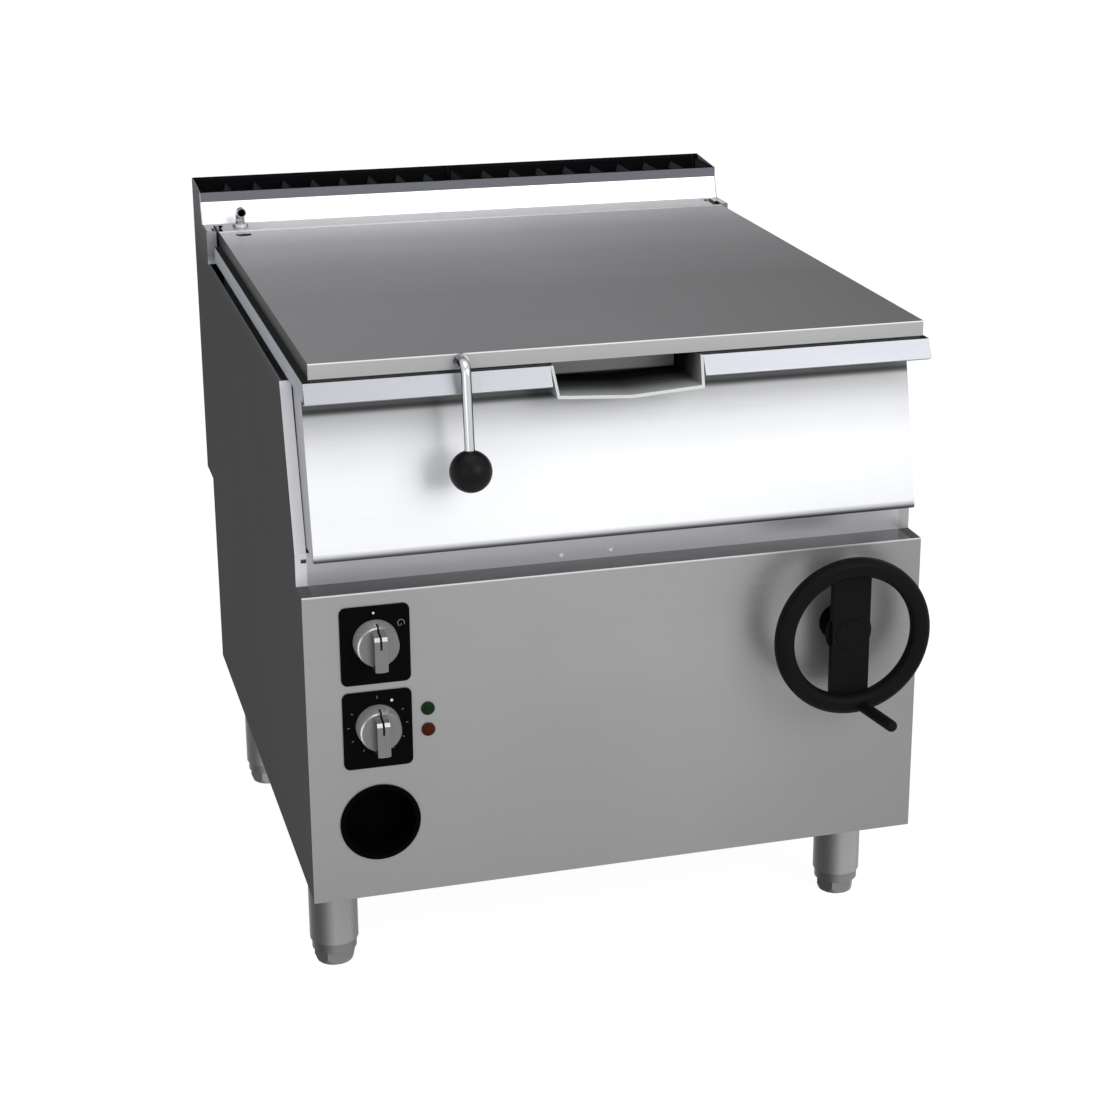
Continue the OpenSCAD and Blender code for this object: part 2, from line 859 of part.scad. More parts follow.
module crank_grip() {
    start = (1.5 * ring_t + 2 * side_gap) / cos(grip_splay);
    length = (grip_reach - grip_d / 2 - hand_out + ring_t) / cos(grip_splay) + grip_d / 2 - start;
    color("#141416") from_front() facing_front(wheel_x, 0, drive_z)
        facing_grip(hand_out - ring_t)
            translate([0, 0, start])
                difference() {
                    rotate_extrude()
                        grip_profile(length);
                    translate([0, 0, -cut])
                        cylinder(h = length + cut - grip_d / 2, r = grip_pin_r + run_gap);
                }
}

module grip_profile(length) {
    r = grip_d / 2;
    square([0.82 * r, length / 8]);
    translate([0, length / 16])
        square([r, length * 15 / 16 - r]);
    intersection() {
        translate([0, length - r])
            circle(r);
        square([r, length]);
    }
}

// Controls on the front panel

plate_t = 2;
plate_r = 8;
switch_w = 48;
switch_d = 42;
plate_places = [for (up = [0, plate_pitch]) [-plate_x, plate_z + up]];
knob_places = [for (place = plate_places) place + [0, knob_up]];
pilot_pitch = 28;
pilot_top_z = plate_z + 20;
pilot_places = [for (i = [0, 1]) [-pilot_x, pilot_top_z - i * pilot_pitch]];
recess_collar_w = 4.5;
recess_cup_r = recess_d / 2 - recess_collar_w;
recess_t = 1.5;

module control_plates() {
    color("#0e0e11") from_front()
        for (place = plate_places)
            difference() {
                along_y(-plate_t, plate_t)
                    translate(place)
                        rounded_rect(plate_w, plate_h, plate_r);
                pin_y(-cut - plate_t, plate_t + 2 * cut, place + [0, knob_up], spindle_d);
            }
}

module control_switches() {
    color("#2a2a2c") from_front()
        for (place = knob_places)
            difference() {
                along_y(sheet_t, switch_d)
                    translate(place)
                        rounded_rect(switch_w, switch_w, plate_r / 2);
                pin_y(0, sheet_t + switch_d / 2, place, spindle_d / 2 + run_gap);
            }
}

module spindle(place) {
    pin_y(-plate_t - knob_h / 2, plate_t + knob_h / 2 + sheet_t + switch_d / 2 - side_gap, place,
          spindle_d / 2);
}

// A conical knob with a raised grip bar whose top end ramps down to the pointer
module knob() {
    r = knob_d / 2;
    body_h = 0.6 * knob_h;
    difference() {
        union() {
            rotate_extrude()
                polygon([[0, 0], [r, 0], [r, 0.08 * knob_h], [0.93 * r, body_h - 0.05 * knob_h],
                         [0.88 * r, body_h], [0, body_h]]);
            intersection() {
                along_x(-0.29 * r, 0.58 * r)
                    polygon([[-r, 0], [-r, 0.96 * knob_h], [-0.92 * r, knob_h],
                             [0.5 * r, knob_h], [0.66 * r, 0.92 * knob_h],
                             [0.82 * r, body_h / 2], [0.82 * r, 0]]);
                cylinder(h = knob_h, r = 0.97 * r);
            }
        }
        translate([0, 0, -cut])
            cylinder(h = knob_h / 2 - face_gap + cut, r = spindle_d / 2);
        along_x(-0.05 * r, 0.1 * r)
            polygon([[0.1 * r, 0.94 * knob_h], [0.46 * r, 0.94 * knob_h],
                     [0.6 * r, 0.87 * knob_h], [0.8 * r, body_h / 2], [r, body_h / 2],
                     [r, knob_h + cut], [0.1 * r, knob_h + cut]]);
    }
}

module selector_knob() {
    color("#a2a3a6") from_front()
        facing_front(-plate_x, -plate_t - face_gap, knob_places[1][1])
            knob();
}

module thermostat_knob() {
    color("#a2a3a6") from_front()
        facing_front(-plate_x, -plate_t - face_gap, knob_places[0][1])
            knob();
}

module selector_spindle() {
    color("#b5b6b8") from_front()
        spindle(knob_places[1]);
}

module thermostat_spindle() {
    color("#b5b6b8") from_front()
        spindle(knob_places[0]);
}

module pilot_light(place) {
    lens_h = pilot_d / 4;
    facing_front(place[0], 0, place[1]) {
        intersection() {
            cylinder(h = lens_h, r = pilot_d / 2);
            translate([0, 0, lens_h - pilot_d])
                sphere(pilot_d);
        }
        translate([0, 0, -1.5 * pilot_d])
            cylinder(h = 1.5 * pilot_d, r = pilot_neck_d / 2);
    }
}

module pilot_light_green() {
    color("#0f6b35") from_front()
        pilot_light(pilot_places[0]);
}

module pilot_light_orange() {
    color("#a8421f") from_front()
        pilot_light(pilot_places[1]);
}

module round_recess() {
    collar_t = 2;
    color("#0b0b0d") from_front() facing_front(-plate_x, 0, recess_z)
        rotate_extrude()
            difference() {
                union() {
                    translate([0, -recess_deep])
                        square([recess_cup_r, recess_deep + collar_t]);
                    square([recess_d / 2, collar_t]);
                }
                translate([0, recess_t - recess_deep])
                    square([recess_cup_r - recess_t, recess_deep + cut]);
            }
}

// Legs with adjustable feet

leg_x = half_w - leg_in;
leg_places = [for (x = [-leg_x, leg_x], y = [leg_back, back_y - leg_back]) [x, y]];
leg_t = 2;
stem_r = leg_d / 8;
stem_h = 0.6 * leg_h;
hex_h = 0.58 * foot_h;

module legs() {
    color("#7f8082") from_front()
        for (place = leg_places)
            translate([place[0], place[1], foot_h]) {
                difference() {
                    cylinder(h = leg_h - foot_h, r = leg_d / 2);
                    translate([0, 0, leg_d / 4])
                        cylinder(h = leg_h - foot_h - leg_d / 4 - leg_t, r = leg_d / 2 - leg_t);
                    translate([0, 0, -cut])
                        cylinder(h = leg_d / 4 + 2 * cut, r = stem_r + run_gap);
                }
            }
}

module foot(place) {
    collar_r = 0.46 * leg_d;
    hex_r = 0.42 * leg_d;
    color("#77787a") from_front() translate([place[0], place[1], 0]) {
        intersection() {
            cylinder(h = hex_h, r = hex_r, $fn = 6);
            cylinder(h = 2 * hex_h, r1 = 0.88 * hex_r, r2 = 1.4 * hex_r);
        }
        translate([0, 0, hex_h])
            cylinder(h = foot_h - hex_h - face_gap, r = collar_r);
        translate([0, 0, foot_h - face_gap])
            cylinder(h = stem_h - foot_h, r = stem_r);
    }
}

module foot_front_left() {
    foot(leg_places[0]);
}

module foot_rear_left() {
    foot(leg_places[1]);
}

module foot_front_right() {
    foot(leg_places[2]);
}

module foot_rear_right() {
    foot(leg_places[3]);
}

// The pan: every piece tips on the pivot

apron_out = 8;
apron_foot = [-apron_out, shelf_z + apron_gap];
apron_r = 4;
apron_lip = 6;
apron_t = 1.5;
apron_return = 60;

// Front face of the apron at a height
apron_slant = (apron_top_in - apron_foot[0]) / (rim_z - rim_t - apron_foot[1]);
function apron_y(z) = apron_foot[0] + apron_slant * (z - apron_foot[1]);

module apron() {
    slant = atan(apron_slant);
    corner = apron_foot + apron_r * [cos(slant), -sin(slant)];
    top_z = rim_z - rim_t;
    path = concat([[apron_y(top_z), top_z]],
                  arc_points(corner, apron_r, 180 - slant, 270, 4),
                  [[corner[0] + apron_lip, corner[1] - apron_r]]);
    color("#c9cbd0") from_front() difference() {
        union() {
            along_x(-apron_x, 2 * apron_x)
                polygon(sheet_outline(path, apron_t));
            each_side()
                along_x(apron_x - apron_t, apron_t)
                    polygon([apron_foot, apron_foot + [apron_return, 0],
                             [apron_y(top_z) + apron_return, top_z], [apron_y(top_z), top_z]]);
        }
        translate([-spout_outer, -cut - lip_reach, spout_z - spout_v - cut / 5])
            cube([2 * spout_outer, vessel_y + 2 * cut, 2 * spout_h]);
    }
}

module pan_casing() {
    behind = apron_t / cos(atan(apron_slant));
    front_low = [apron_y(casing_z) + behind, casing_z];
    front_high = [apron_y(rim_z - rim_t) + behind, rim_z - rim_t];
    color("#a9abae") from_front() {
        along_x(-casing_x, 2 * casing_x)
            polygon(sheet_outline([
                front_low + [2 * sheet_t, 0], [casing_y, casing_z], [casing_y, rim_z - rim_t]
            ], sheet_t));
        each_side()
            along_x(casing_x - sheet_t, sheet_t)
                polygon([front_low, [casing_y, casing_z], [casing_y, rim_z - rim_t],
                         front_high]);
    }
}

// A box with rounded upright corners and a rounded bottom edge, open size w by d
module tub(w, d, h, r) {
    for (size = [[w, d - 2 * r], [w - 2 * r, d]])
        translate([-size[0] / 2, -size[1] / 2, r])
            cube([size[0], size[1], h - r]);
    translate([r - w / 2, r - d / 2, 0])
        cube([w - 2 * r, d - 2 * r, h]);
    for (x = [r - w / 2, w / 2 - r], y = [r - d / 2, d / 2 - r])
        translate([x, y, r]) {
            cylinder(h = h - r, r = r);
            sphere(r);
        }
    for (x = [r - w / 2, w / 2 - r])
        translate([x, d / 2 - r, r])
            rotate([90, 0, 0])
                cylinder(h = d - 2 * r, r = r);
    for (y = [r - d / 2, d / 2 - r])
        translate([r - w / 2, y, r])
            rotate([0, 90, 0])
                cylinder(h = w - 2 * r, r = r);
}

vessel_mid_y = vessel_y + vessel_d / 2;
spout_t = 3.5;
spout_outer = spout_w / 2 + spout_t;
spout_z = rim_z - spout_h;

module pan_vessel() {
    color("#c4c6c9") from_front() difference() {
        translate([0, vessel_mid_y, vessel_under_z])
            linear_extrude(rim_z - rim_t - vessel_under_z)
                rounded_rect(vessel_w + 2 * wall_t, vessel_d + 2 * wall_t,
                             vessel_r + wall_t);
        translate([0, vessel_mid_y, vessel_z])
            tub(vessel_w, vessel_d, vessel_h + cut, vessel_r);
        along_y(vessel_y - 2 * wall_t, 4 * wall_t)
            polygon(spout_path(cut));
    }
}

// Outline of the spout, with a shallow V at its bottom and its sides drawn on upwards
spout_taper = 0.02 * spout_w;
function spout_path(over) =
    let (top = spout_outer + spout_taper * over / spout_h)
    [[-top, rim_z + over], [spout_taper - spout_outer, spout_z], [0, spout_z - spout_v],
     [spout_outer - spout_taper, spout_z], [top, rim_z + over]];

module pour_spout() {
    outer = spout_path(0);
    mouth = -lip_reach - lip_lean * (spout_h + spout_v) / lip_h;
    color("#c9ccd1") from_front() difference() {
        along_y(mouth, vessel_y - mouth)
            polygon(sheet_outline(outer, spout_t));
        along_x(-spout_w, 2 * spout_w)
            polygon([[mouth - cut, rim_z + cut], [-lip_reach + cut * lip_lean / lip_h,
                     rim_z + cut], [mouth, spout_z - spout_v], [mouth - cut,
                     spout_z - spout_v]]);
    }
}

module pan_rim() {
    lip_foot = [-lip_reach - lip_lean, rim_low_z];
    color("#cfd2d7") from_front() {
        difference() {
            union() {
                along_x(-rim_x, 2 * rim_x)
                    polygon(sheet_outline([
                        [rim_back_y, rim_low_z], [rim_back_y, rim_z], [-lip_reach, rim_z],
                        lip_foot, lip_foot + [lip_lean, -lip_h / 5]
                    ], rim_t));
                each_side()
                    translate([rim_x - rim_t, -lip_reach, rim_low_z])
                        cube([rim_t, rim_back_y + lip_reach, lip_h]);
            }
            translate([0, vessel_mid_y, rim_z - 2 * rim_t])
                linear_extrude(4 * rim_t)
                    rounded_rect(vessel_w, vessel_d, vessel_r);
            translate([-spout_outer, -3 * lip_reach, rim_low_z - lip_h])
                cube([2 * spout_outer, vessel_y + 3 * lip_reach, 3 * lip_h]);
        }
    }
}

module pan_insulation() {
    front = apron_top_in + 2 * apron_t + side_gap;
    low = vessel_under_z;
    high = rim_z - rim_t - 0.6 * spout_h;
    color("#d9d3b8") from_front() difference() {
        translate([2 * sheet_t - casing_x, front, low])
            cube([2 * casing_x - 4 * sheet_t, casing_y - sheet_t - front, high - low]);
        translate([0, vessel_mid_y, low - cut])
            linear_extrude(high - low + 2 * cut)
                rounded_rect(vessel_w + 2 * wall_t, vessel_d + 2 * wall_t,
                             vessel_r + wall_t);
        translate([-spout_outer, 0, spout_z - spout_v - cut / 5])
            cube([2 * spout_outer, vessel_y, 2 * spout_h]);
    }
}

// Hairpin heating elements below the vessel's bottom
element_r = 4.25;
element_turn_r = 36;
element_count = 3;
element_z = vessel_under_z - element_r - face_gap;
element_inset = 25;
element_half = vessel_w / 2 - element_inset;

module heating_elements() {
    pitch = vessel_d / element_count;
    color("#55504c") from_front()
        for (i = [0:element_count - 1])
            translate([0, vessel_y + (i + 0.5) * pitch, element_z]) {
                for (y = [-element_turn_r, element_turn_r])
                    translate([-element_half, y, 0])
                        rotate([0, 90, 0])
                            cylinder(h = 2 * element_half - element_turn_r, r = element_r);
                translate([element_half - element_turn_r, 0, 0])
                    rotate([0, 0, -90])
                        rotate_extrude(angle = 180)
                            translate([element_turn_r, 0])
                                circle(element_r);
            }
}

module thermostat_bulb() {
    color("#b9825a") from_front()
        translate([-vessel_w / 16, vessel_mid_y - vessel_d / 6, vessel_under_z - element_r])
            rotate([0, 90, 0])
                cylinder(h = vessel_w / 8, r = 0.9 * element_r);
}

// Arms at the rear corners: the pan's arms carry the pins that the lid's arms turn on
hinge_boss_r = 1.08 * hinge_rod_d;
arm_sheet = 2.5;
arm_gap = 0.5;
foot_edge = 2;
pan_arm_x = slit_x + 2 * side_gap;
lid_arm_x = pan_arm_x + arm_sheet + arm_gap;
arm_foot_w = 22;

module pan_arms() {
    low_z = rim_low_z + foot_edge;
    color("#b3b5b8") from_front() each_side() {
        along_x(pan_arm_x, arm_sheet) {
            translate(hinge)
                circle(hinge_boss_r);
            polygon([
                [rim_back_y, low_z], [hinge[0] - hinge_boss_r, hinge[1] - hinge_boss_r],
                hinge - [0, hinge_boss_r], hinge + [0, hinge_boss_r],
                [rim_back_y, rim_z - rim_t]
            ]);
        }
        translate([pan_arm_x + arm_sheet - arm_foot_w, rim_back_y, low_z])
            cube([arm_foot_w, arm_sheet, rim_z - rim_t - low_z]);
        pin_x(pan_arm_x, 3 * arm_sheet, hinge, hinge_rod_d / 2);
    }
}

module lid_arms() {
    low_z = lid_z + foot_edge;
    high_z = lid_top_z - 2 * foot_edge;
    color("#b3b5b8") from_front() each_side() {
        difference() {
            along_x(lid_arm_x, arm_sheet) {
                translate(hinge)
                    circle(hinge_boss_r);
                polygon([
                    [lid_back_y, low_z], hinge - [0, hinge_boss_r],
                    hinge + [0, hinge_boss_r], [lid_back_y, high_z]
                ]);
            }
            pin_x(lid_arm_x - cut, arm_sheet + 2 * cut, hinge, hinge_rod_d / 2 + run_gap);
        }
        translate([lid_arm_x + arm_sheet - arm_foot_w, lid_back_y, low_z])
            cube([arm_foot_w, arm_sheet, high_z - low_z]);
    }
}

// The lid

slot_w = 22;
slot_d = 21;
slot_back = 30;
lid_slot = [-0.44 * body_w, lid_back_y - slot_back];

module lid_shell() {
    depth = lid_back_y - lid_front_y;
    color("#8d8e91") from_front() difference() {
        translate([-lid_x, lid_front_y, lid_z])
            cube([2 * lid_x, depth, lid_h]);
        translate([lid_t - lid_x, lid_front_y + lid_t, lid_z - cut])
            cube([2 * (lid_x - lid_t), depth - 2 * lid_t, lid_h - lid_t + cut]);
        translate([lid_slot[0], lid_slot[1], lid_top_z - cut])
            linear_extrude(2 * cut)
                rounded_rect(slot_w, slot_d, 0.45 * slot_d);
    }
}

liner_t = 1;
liner_up = 3;

module lid_liner() {
    x = lid_x - lid_t;
    y = lid_front_y + lid_t;
    depth = lid_back_y - lid_front_y - 2 * lid_t;
    color("#a6a8ab") from_front() difference() {
        translate([-x, y, lid_z])
            cube([2 * x, depth, liner_up]);
        translate([liner_t - x, y + liner_t, lid_z - cut])
            cube([2 * (x - liner_t), depth - 2 * liner_t, liner_up - liner_t + cut]);
    }
}

buffer_r = 9;

module lid_buffers() {
    y_front = (vessel_y - lip_reach) / 2;
    y_back = (rim_back_y + vessel_y + vessel_d) / 2;
    x = (rim_x + vessel_w / 2) / 2;
    color("#2b2b2d") from_front()
        for (sx = [-x, x], y = [y_front, y_back])
            translate([sx, y, rim_z + face_gap])
                cylinder(h = lid_z + liner_up - liner_t - rim_z - face_gap, r = buffer_r);
}

// The lever: a bent rod from a round flange on the lid's skirt down to the ball
lever_in = 197;
lever_x = lever_in - half_w;
lever_r = lever_d / 2;
lever_bend = 12;
lever_z = lid_top_z - 0.47 * lid_h;
lever_flange_t = 3;
lever_flange_r = 9;
lever_stub = 13;
lever_lap = 0.5;
bend_place = [lid_front_y - lever_stub, lever_z - lever_bend];
lever_angle = 90 - lever_lean;
lever_end = bend_place + lever_bend * [-sin(lever_angle), cos(lever_angle)];
lever_run = 89;
ball_place = lever_end - (lever_run + ball_d / 2) * [sin(lever_lean), cos(lever_lean)];

module lid_lever() {
    color("#e4e5e8") from_front() {
        pin_y(lid_front_y - lever_flange_t, lever_flange_t, [lever_x, lever_z], lever_flange_r);
        pin_y(bend_place[0] - lever_lap, lever_stub, [lever_x, lever_z], lever_r);
        translate([lever_x, bend_place[0], bend_place[1]])
            rotate([0, -90, 180])
                rotate_extrude(angle = lever_angle)
                    translate([lever_bend, 0])
                        circle(1.03 * lever_r);
        translate([lever_x, lever_end[0], lever_end[1]])
            rotate([180 - lever_lean, 0, 0])
                translate([0, 0, -lever_lap])
                    cylinder(h = lever_run + ball_d / 3 + lever_lap, r = lever_r);
    }
}

module lid_ball() {
    color("#0d0d0f") from_front() difference() {
        translate([lever_x, ball_place[0], ball_place[1]])
            sphere(ball_d / 2);
        translate([lever_x, lever_end[0], lever_end[1]])
            rotate([180 - lever_lean, 0, 0])
                translate([0, 0, -lever_lap])
                    cylinder(h = lever_run + ball_d / 3 + lever_lap, r = lever_r);
    }
}

// Water filling: a swivelling elbow, its collar on the ledge, and the pipe below

tap_y = splash_y - 24;
tap_rise = 3;
tap_bend = 0.86 * tap_d;
tap_reach = 20;
tap_wall = 1.5;
collar_h = 8;

module tap_path(r) {
    height = collar_h + tap_rise;
    cylinder(h = height, r = r);
    translate([0, -tap_bend, height])
        rotate([90, 0, 90])
            rotate_extrude(angle = 90)
                translate([tap_bend, 0])
                    circle(r);
    translate([0, -tap_bend, height + tap_bend])
        rotate([90, 0, 0])
            cylinder(h = tap_reach - tap_bend, r = r);
}

module swivel_tap() {
    color("#dcdde0") from_front()
        translate([-tap_x, tap_y, ledge_z])
            difference() {
                union() {
                    tap_path(tap_d / 2);
                    translate([0, 0, -1.5 * collar_h])
                        cylinder(h = 2 * collar_h, r = tap_d / 2);
                }
                union() {
                    tap_path(tap_d / 2 - tap_wall);
                    translate([0, 0, -2 * collar_h])
                        cylinder(h = 3 * collar_h, r = tap_d / 2 - tap_wall);
                    translate([0, -tap_reach + cut, collar_h + tap_rise + tap_bend])
                        rotate([90, 0, 0])
                            cylinder(h = 2 * cut, r = tap_d / 2 - tap_wall);
                }
            }
}

module tap_base() {
    color("#c7c8cb") from_front()
        translate([-tap_x, tap_y, ledge_z])
            difference() {
                union() {
                    cylinder(h = collar_h / 2, r = 0.8 * tap_d);
                    translate([0, 0, -2 * collar_h])
                        cylinder(h = 2 * collar_h, r = 0.7 * tap_d);
                }
                translate([0, 0, -2 * collar_h + cut / 2])
                    cylinder(h = 4 * collar_h, r = tap_d / 2 + run_gap);
            }
}

module water_pipe() {
    thread_length = 16;
    top_z = ledge_z - 2 * collar_h;
    color("#b98b5e") from_front() {
        translate([-tap_x, tap_y, inlet_place[1]]) {
            cylinder(h = top_z - inlet_place[1], r = pipe_d / 2);
            sphere(pipe_d / 2);
        }
        pin_y(tap_y, back_y - tap_y, inlet_place, pipe_d / 2);
        pin_y(back_y, inlet_d / 6, inlet_place, 0.72 * inlet_d);
        pin_y(back_y, inlet_d / 6 + thread_length, inlet_place, inlet_d / 2);
    }
}

// Mains connection: the gland in the back panel and the terminal box inside

gland_length = 36;

module cable_gland() {
    nut_r = 1.9 * gland_bore / cos(30) / 2;
    color("#8b8d90") from_front() difference() {
        union() {
            pin_y(back_y - sheet_t, sheet_t, gland_place, gland_thread_r);
            translate([gland_place[0], back_y, gland_place[1]])
                rotate([-90, 0, 0]) {
                    cylinder(h = gland_length / 3, r = nut_r, $fn = 6);
                    translate([0, 0, gland_length / 3])
                        cylinder(h = gland_length / 2, r1 = 0.8 * gland_bore,
                                 r2 = 0.66 * gland_bore);
                }
        }
        pin_y(back_y - gland_length, 3 * gland_length, gland_place, gland_bore / 2);
    }
}

terminal_w = 120;
terminal_h = 90;
terminal_d = 50;

module terminal_box() {
    color("#b0b2b5") from_front()
        difference() {
            along_y(back_y - sheet_t - terminal_d, terminal_d)
                translate([gland_place[0], gland_place[1]])
                    rounded_rect(terminal_w, terminal_h, 3 * sheet_t);
            along_y(back_y - 2 * sheet_t - terminal_d + 3 * sheet_t, terminal_d)
                translate([gland_place[0], gland_place[1]])
                    rounded_rect(terminal_w - 4 * sheet_t, terminal_h - 4 * sheet_t, sheet_t);
        }
}

side_panel_left();
side_panel_right();
front_panel();
front_shelf();
base_plate();
back_panel();
flue_back();
ledge();
grille_left();
grille_right();
front_beam();
cross_beam();
pivot_blocks();
shaft_brackets();
shaft_bearings();
legs();
foot_front_left();
foot_front_right();
foot_rear_left();
foot_rear_right();
control_plates();
control_switches();
selector_knob();
selector_spindle();
thermostat_knob();
thermostat_spindle();
pilot_light_green();
pilot_light_orange();
round_recess();
handwheel();
drive_shaft();
worm();
grip_pin();
crank_grip();
worm_wheel();
cross_shaft();
crank_arms();
links();
pan_vessel();
pan_rim();
pour_spout();
pan_casing();
apron();
pan_insulation();
heating_elements();
hinge_ears();
link_brackets();
pan_arms();
lid_shell();
lid_liner();
lid_buffers();
lid_lever();
lid_ball();
lid_arms();
swivel_tap();
tap_base();
water_pipe();
cable_gland();
terminal_box();
thermostat_bulb();
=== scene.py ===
import math

import bmesh
import bpy
from mathutils import Matrix, Vector


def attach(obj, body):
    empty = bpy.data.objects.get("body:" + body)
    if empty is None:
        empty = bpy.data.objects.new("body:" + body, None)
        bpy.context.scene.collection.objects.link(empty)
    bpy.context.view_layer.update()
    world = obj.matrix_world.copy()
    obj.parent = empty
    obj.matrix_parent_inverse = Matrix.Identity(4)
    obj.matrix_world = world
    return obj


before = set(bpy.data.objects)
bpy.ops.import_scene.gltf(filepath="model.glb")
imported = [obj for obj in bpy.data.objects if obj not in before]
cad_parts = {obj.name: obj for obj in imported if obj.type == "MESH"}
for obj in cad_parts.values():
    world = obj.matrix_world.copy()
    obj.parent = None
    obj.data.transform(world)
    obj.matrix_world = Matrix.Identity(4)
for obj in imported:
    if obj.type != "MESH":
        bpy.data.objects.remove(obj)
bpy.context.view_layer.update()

# Sizes and places in metres, in the row frame: X to the right, Y to the rear, Z up
HALF_W = 0.4
FRONT_Y = -0.3925
GRILLE_Y = 0.4475

# The control plates and their knobs. A knob is a round body with a grip that stands
# on its face, and the body takes a share of the knob's height
PLATE_X = -0.3135
PLATE_Z = 0.382
PLATE_PITCH = 0.111
PLATE_T = 0.002
PLATE_Y = FRONT_Y - PLATE_T
KNOB_UP = 0.0055
KNOB_R = 0.0275
KNOB_H = 0.04
KNOB_GAP = 0.0003
KNOB_BODY = 0.6
KNOB_Y = PLATE_Y - KNOB_GAP
FACE_Y = KNOB_Y - KNOB_BODY * KNOB_H
GRIP_Y = FACE_Y - 0.016
BODY_END_Y = FACE_Y + 0.024
LOWER = (PLATE_X, PLATE_Z + KNOB_UP)
UPPER = (PLATE_X, LOWER[1] + PLATE_PITCH)

# Black fillings of the knobs' pointer grooves, as shares of the knob's radius and depth
GROOVE = [(0.12, 0.945), (0.46, 0.945), (0.6, 0.875), (0.795, 0.315), (0.94, 0.303),
          (0.94, 0.33), (0.812, 0.34), (0.645, 0.89), (0.49, 0.975), (0.12, 0.975)]
GROOVE_W = 0.094

# The marks around the knobs. A dot is (angle clockwise from the top, radius), and a line
# runs between two distances, from MARK_R or from the centre of the symbol
MARK_R = 0.0362
MARK_T = 0.0002
LINE_W = 0.0009
UPPER_DOT = (-2, 0.0015)
LOWER_DOT = (30, 0.0018)
SYMBOL_ANGLE = 58
SYMBOL_OUT = 0.002
SYMBOL_R = 0.0042
SYMBOL_ARC = (-150, 120)
SYMBOL_LINE_ANGLE = 180
SYMBOL_LINE = (0.001, 0.0036)
TOP_LINE = (-0.001, 0.003)
SCALE_LINE = (-0.0012, 0.0016)
SCALE_COUNT = 9
SCALE_START = 60
SCALE_STEP = 30

# Rivet heads on the riser: centres in X and Z, and rings of (radius, height) as shares of
# RIVET_R, from the foot to the top
RISER_Y = FRONT_Y + 0.042
RIVETS = ((-0.068, 0.5694), (-0.004, 0.5704))
RIVET_R = 0.0029
RIVET_RINGS = ((1.0, 0.0), (0.92, 0.35), (0.6, 0.62))
RIVET_SIDES = 16

# The lid's splash plate
SPLASH_HALF_W = 0.086
SPLASH_BOTTOM = 0.782
SPLASH_TOP = 0.8325
SPLASH_Y = FRONT_Y + 0.0715
SPLASH_T = 0.001

# Directions that a surface may face, each with how far it has to face it for the painted light
# and shade of that side to begin and to be full
FRONT = ((0, -1, 0), 0.6, 0.8)
LEFT = ((-1, 0, 0), 0.6, 0.8)
RIGHT = ((1, 0, 0), 0.6, 0.8)
UP = ((0, 0, 1), 0.6, 0.8)
KNOB_FACE = ((0, -1, 0), 0.9, 0.97)
KNOB_PAINTED_HIGHLIGHT = ((-0.1, -0.78, 0.62), 0.88, 0.97)
LEVER_LEFT = ((-0.956, 0.292, 0), 0.72, 0.95)
LEVER_RIGHT = ((0.956, -0.292, 0), 0.72, 0.95)
ROUND_LEFT = ((-0.9, -0.44, 0), 0.5, 1.0)
ROUND_RIGHT = ((1, 0, 0), 0.5, 1.0)

# Painted shade and highlights as (axis, stops), and each stop is a place along the axis and the
# painted brightness there

# Painted shade and highlight on the front panel: darker at its foot and its right end, with a
# painted highlight along its top edge
PANEL_SHADE_X = ("X", [(-HALF_W, 1.0), (0.1, 1.0), (HALF_W, 0.88)])
PANEL_SHADE_Z = ("Z", [(0.15, 0.86), (0.45, 1.0), (0.5594, 1.0), (0.5598, 2.4), (0.562, 2.4)])

# Painted light and shade on the side panels: brighter near their top, but their front faces
# darker there and on the right panel
FOLD_SHADE_X = ("X", [(-HALF_W, 1.0), (0.1, 1.0), (0.3, 0.5), (HALF_W, 0.5)])
FOLD_SHADE_Z = ("Z", [(0.0, 1.0), (0.8, 1.0), (0.812, 0.3), (0.91, 0.3)])
SIDE_SHADE_Z = ("Z", [(0.0, 1.0), (0.79, 1.0), (0.87, 1.9), (1.0, 1.9)])

# Painted light on the lid: brighter to the rear, darker to the right, with painted highlights
# along its rear and front edges
LID_SHADE_X = ("X", [(-HALF_W, 1.06), (0.0, 0.97), (0.2, 0.8), (HALF_W, 0.68)])
LID_SHADE_Y = ("Y", [(-0.42, 0.82), (-0.1, 0.84), (0.1, 1.1), (0.25, 1.55), (0.361, 2.5),
                     (0.3625, 4.0), (0.37, 4.0)])
LID_FRONT_SHADE_Z = ("Z", [(0.833, 0.95), (0.8503, 1.0), (0.8506, 2.0), (0.852, 2.0)])

# Painted shade on the rim: darker to the right, and its top dark along the front and at both
# ends
RIM_SHADE_X = ("X", [(-HALF_W, 1.0), (-0.1, 0.86), (HALF_W, 0.8)])
RIM_TOP_SHADE_X = ("X", [(-0.392, 0.11), (-0.383, 0.11), (-0.381, 1.0), (0.381, 1.0),
                         (0.383, 0.11), (0.392, 0.11)])
RIM_TOP_SHADE_Y = ("Y", [(-0.421, 0.03), (-0.404, 0.03), (-0.402, 1.0), (0.373, 1.0)])

# Painted shade in the spout: darker the further in
SPOUT_SHADE_Y = ("Y", [(-0.4304, 1.0), (-0.405, 0.6), (-0.38, 0.22), (-0.355, 0.05),
                       (-0.32, 0.02)])

# Painted shade on the ledge: darker at its left end and low down on its front faces
LEDGE_SHADE_X = ("X", [(-0.39, 0.5), (-0.36, 0.6), (-0.31, 0.9), (HALF_W, 1.0)])
LEDGE_FRONT_SHADE_Z = ("Z", [(0.8, 0.4), (0.834, 0.4), (0.837, 1.0), (0.89, 1.0)])
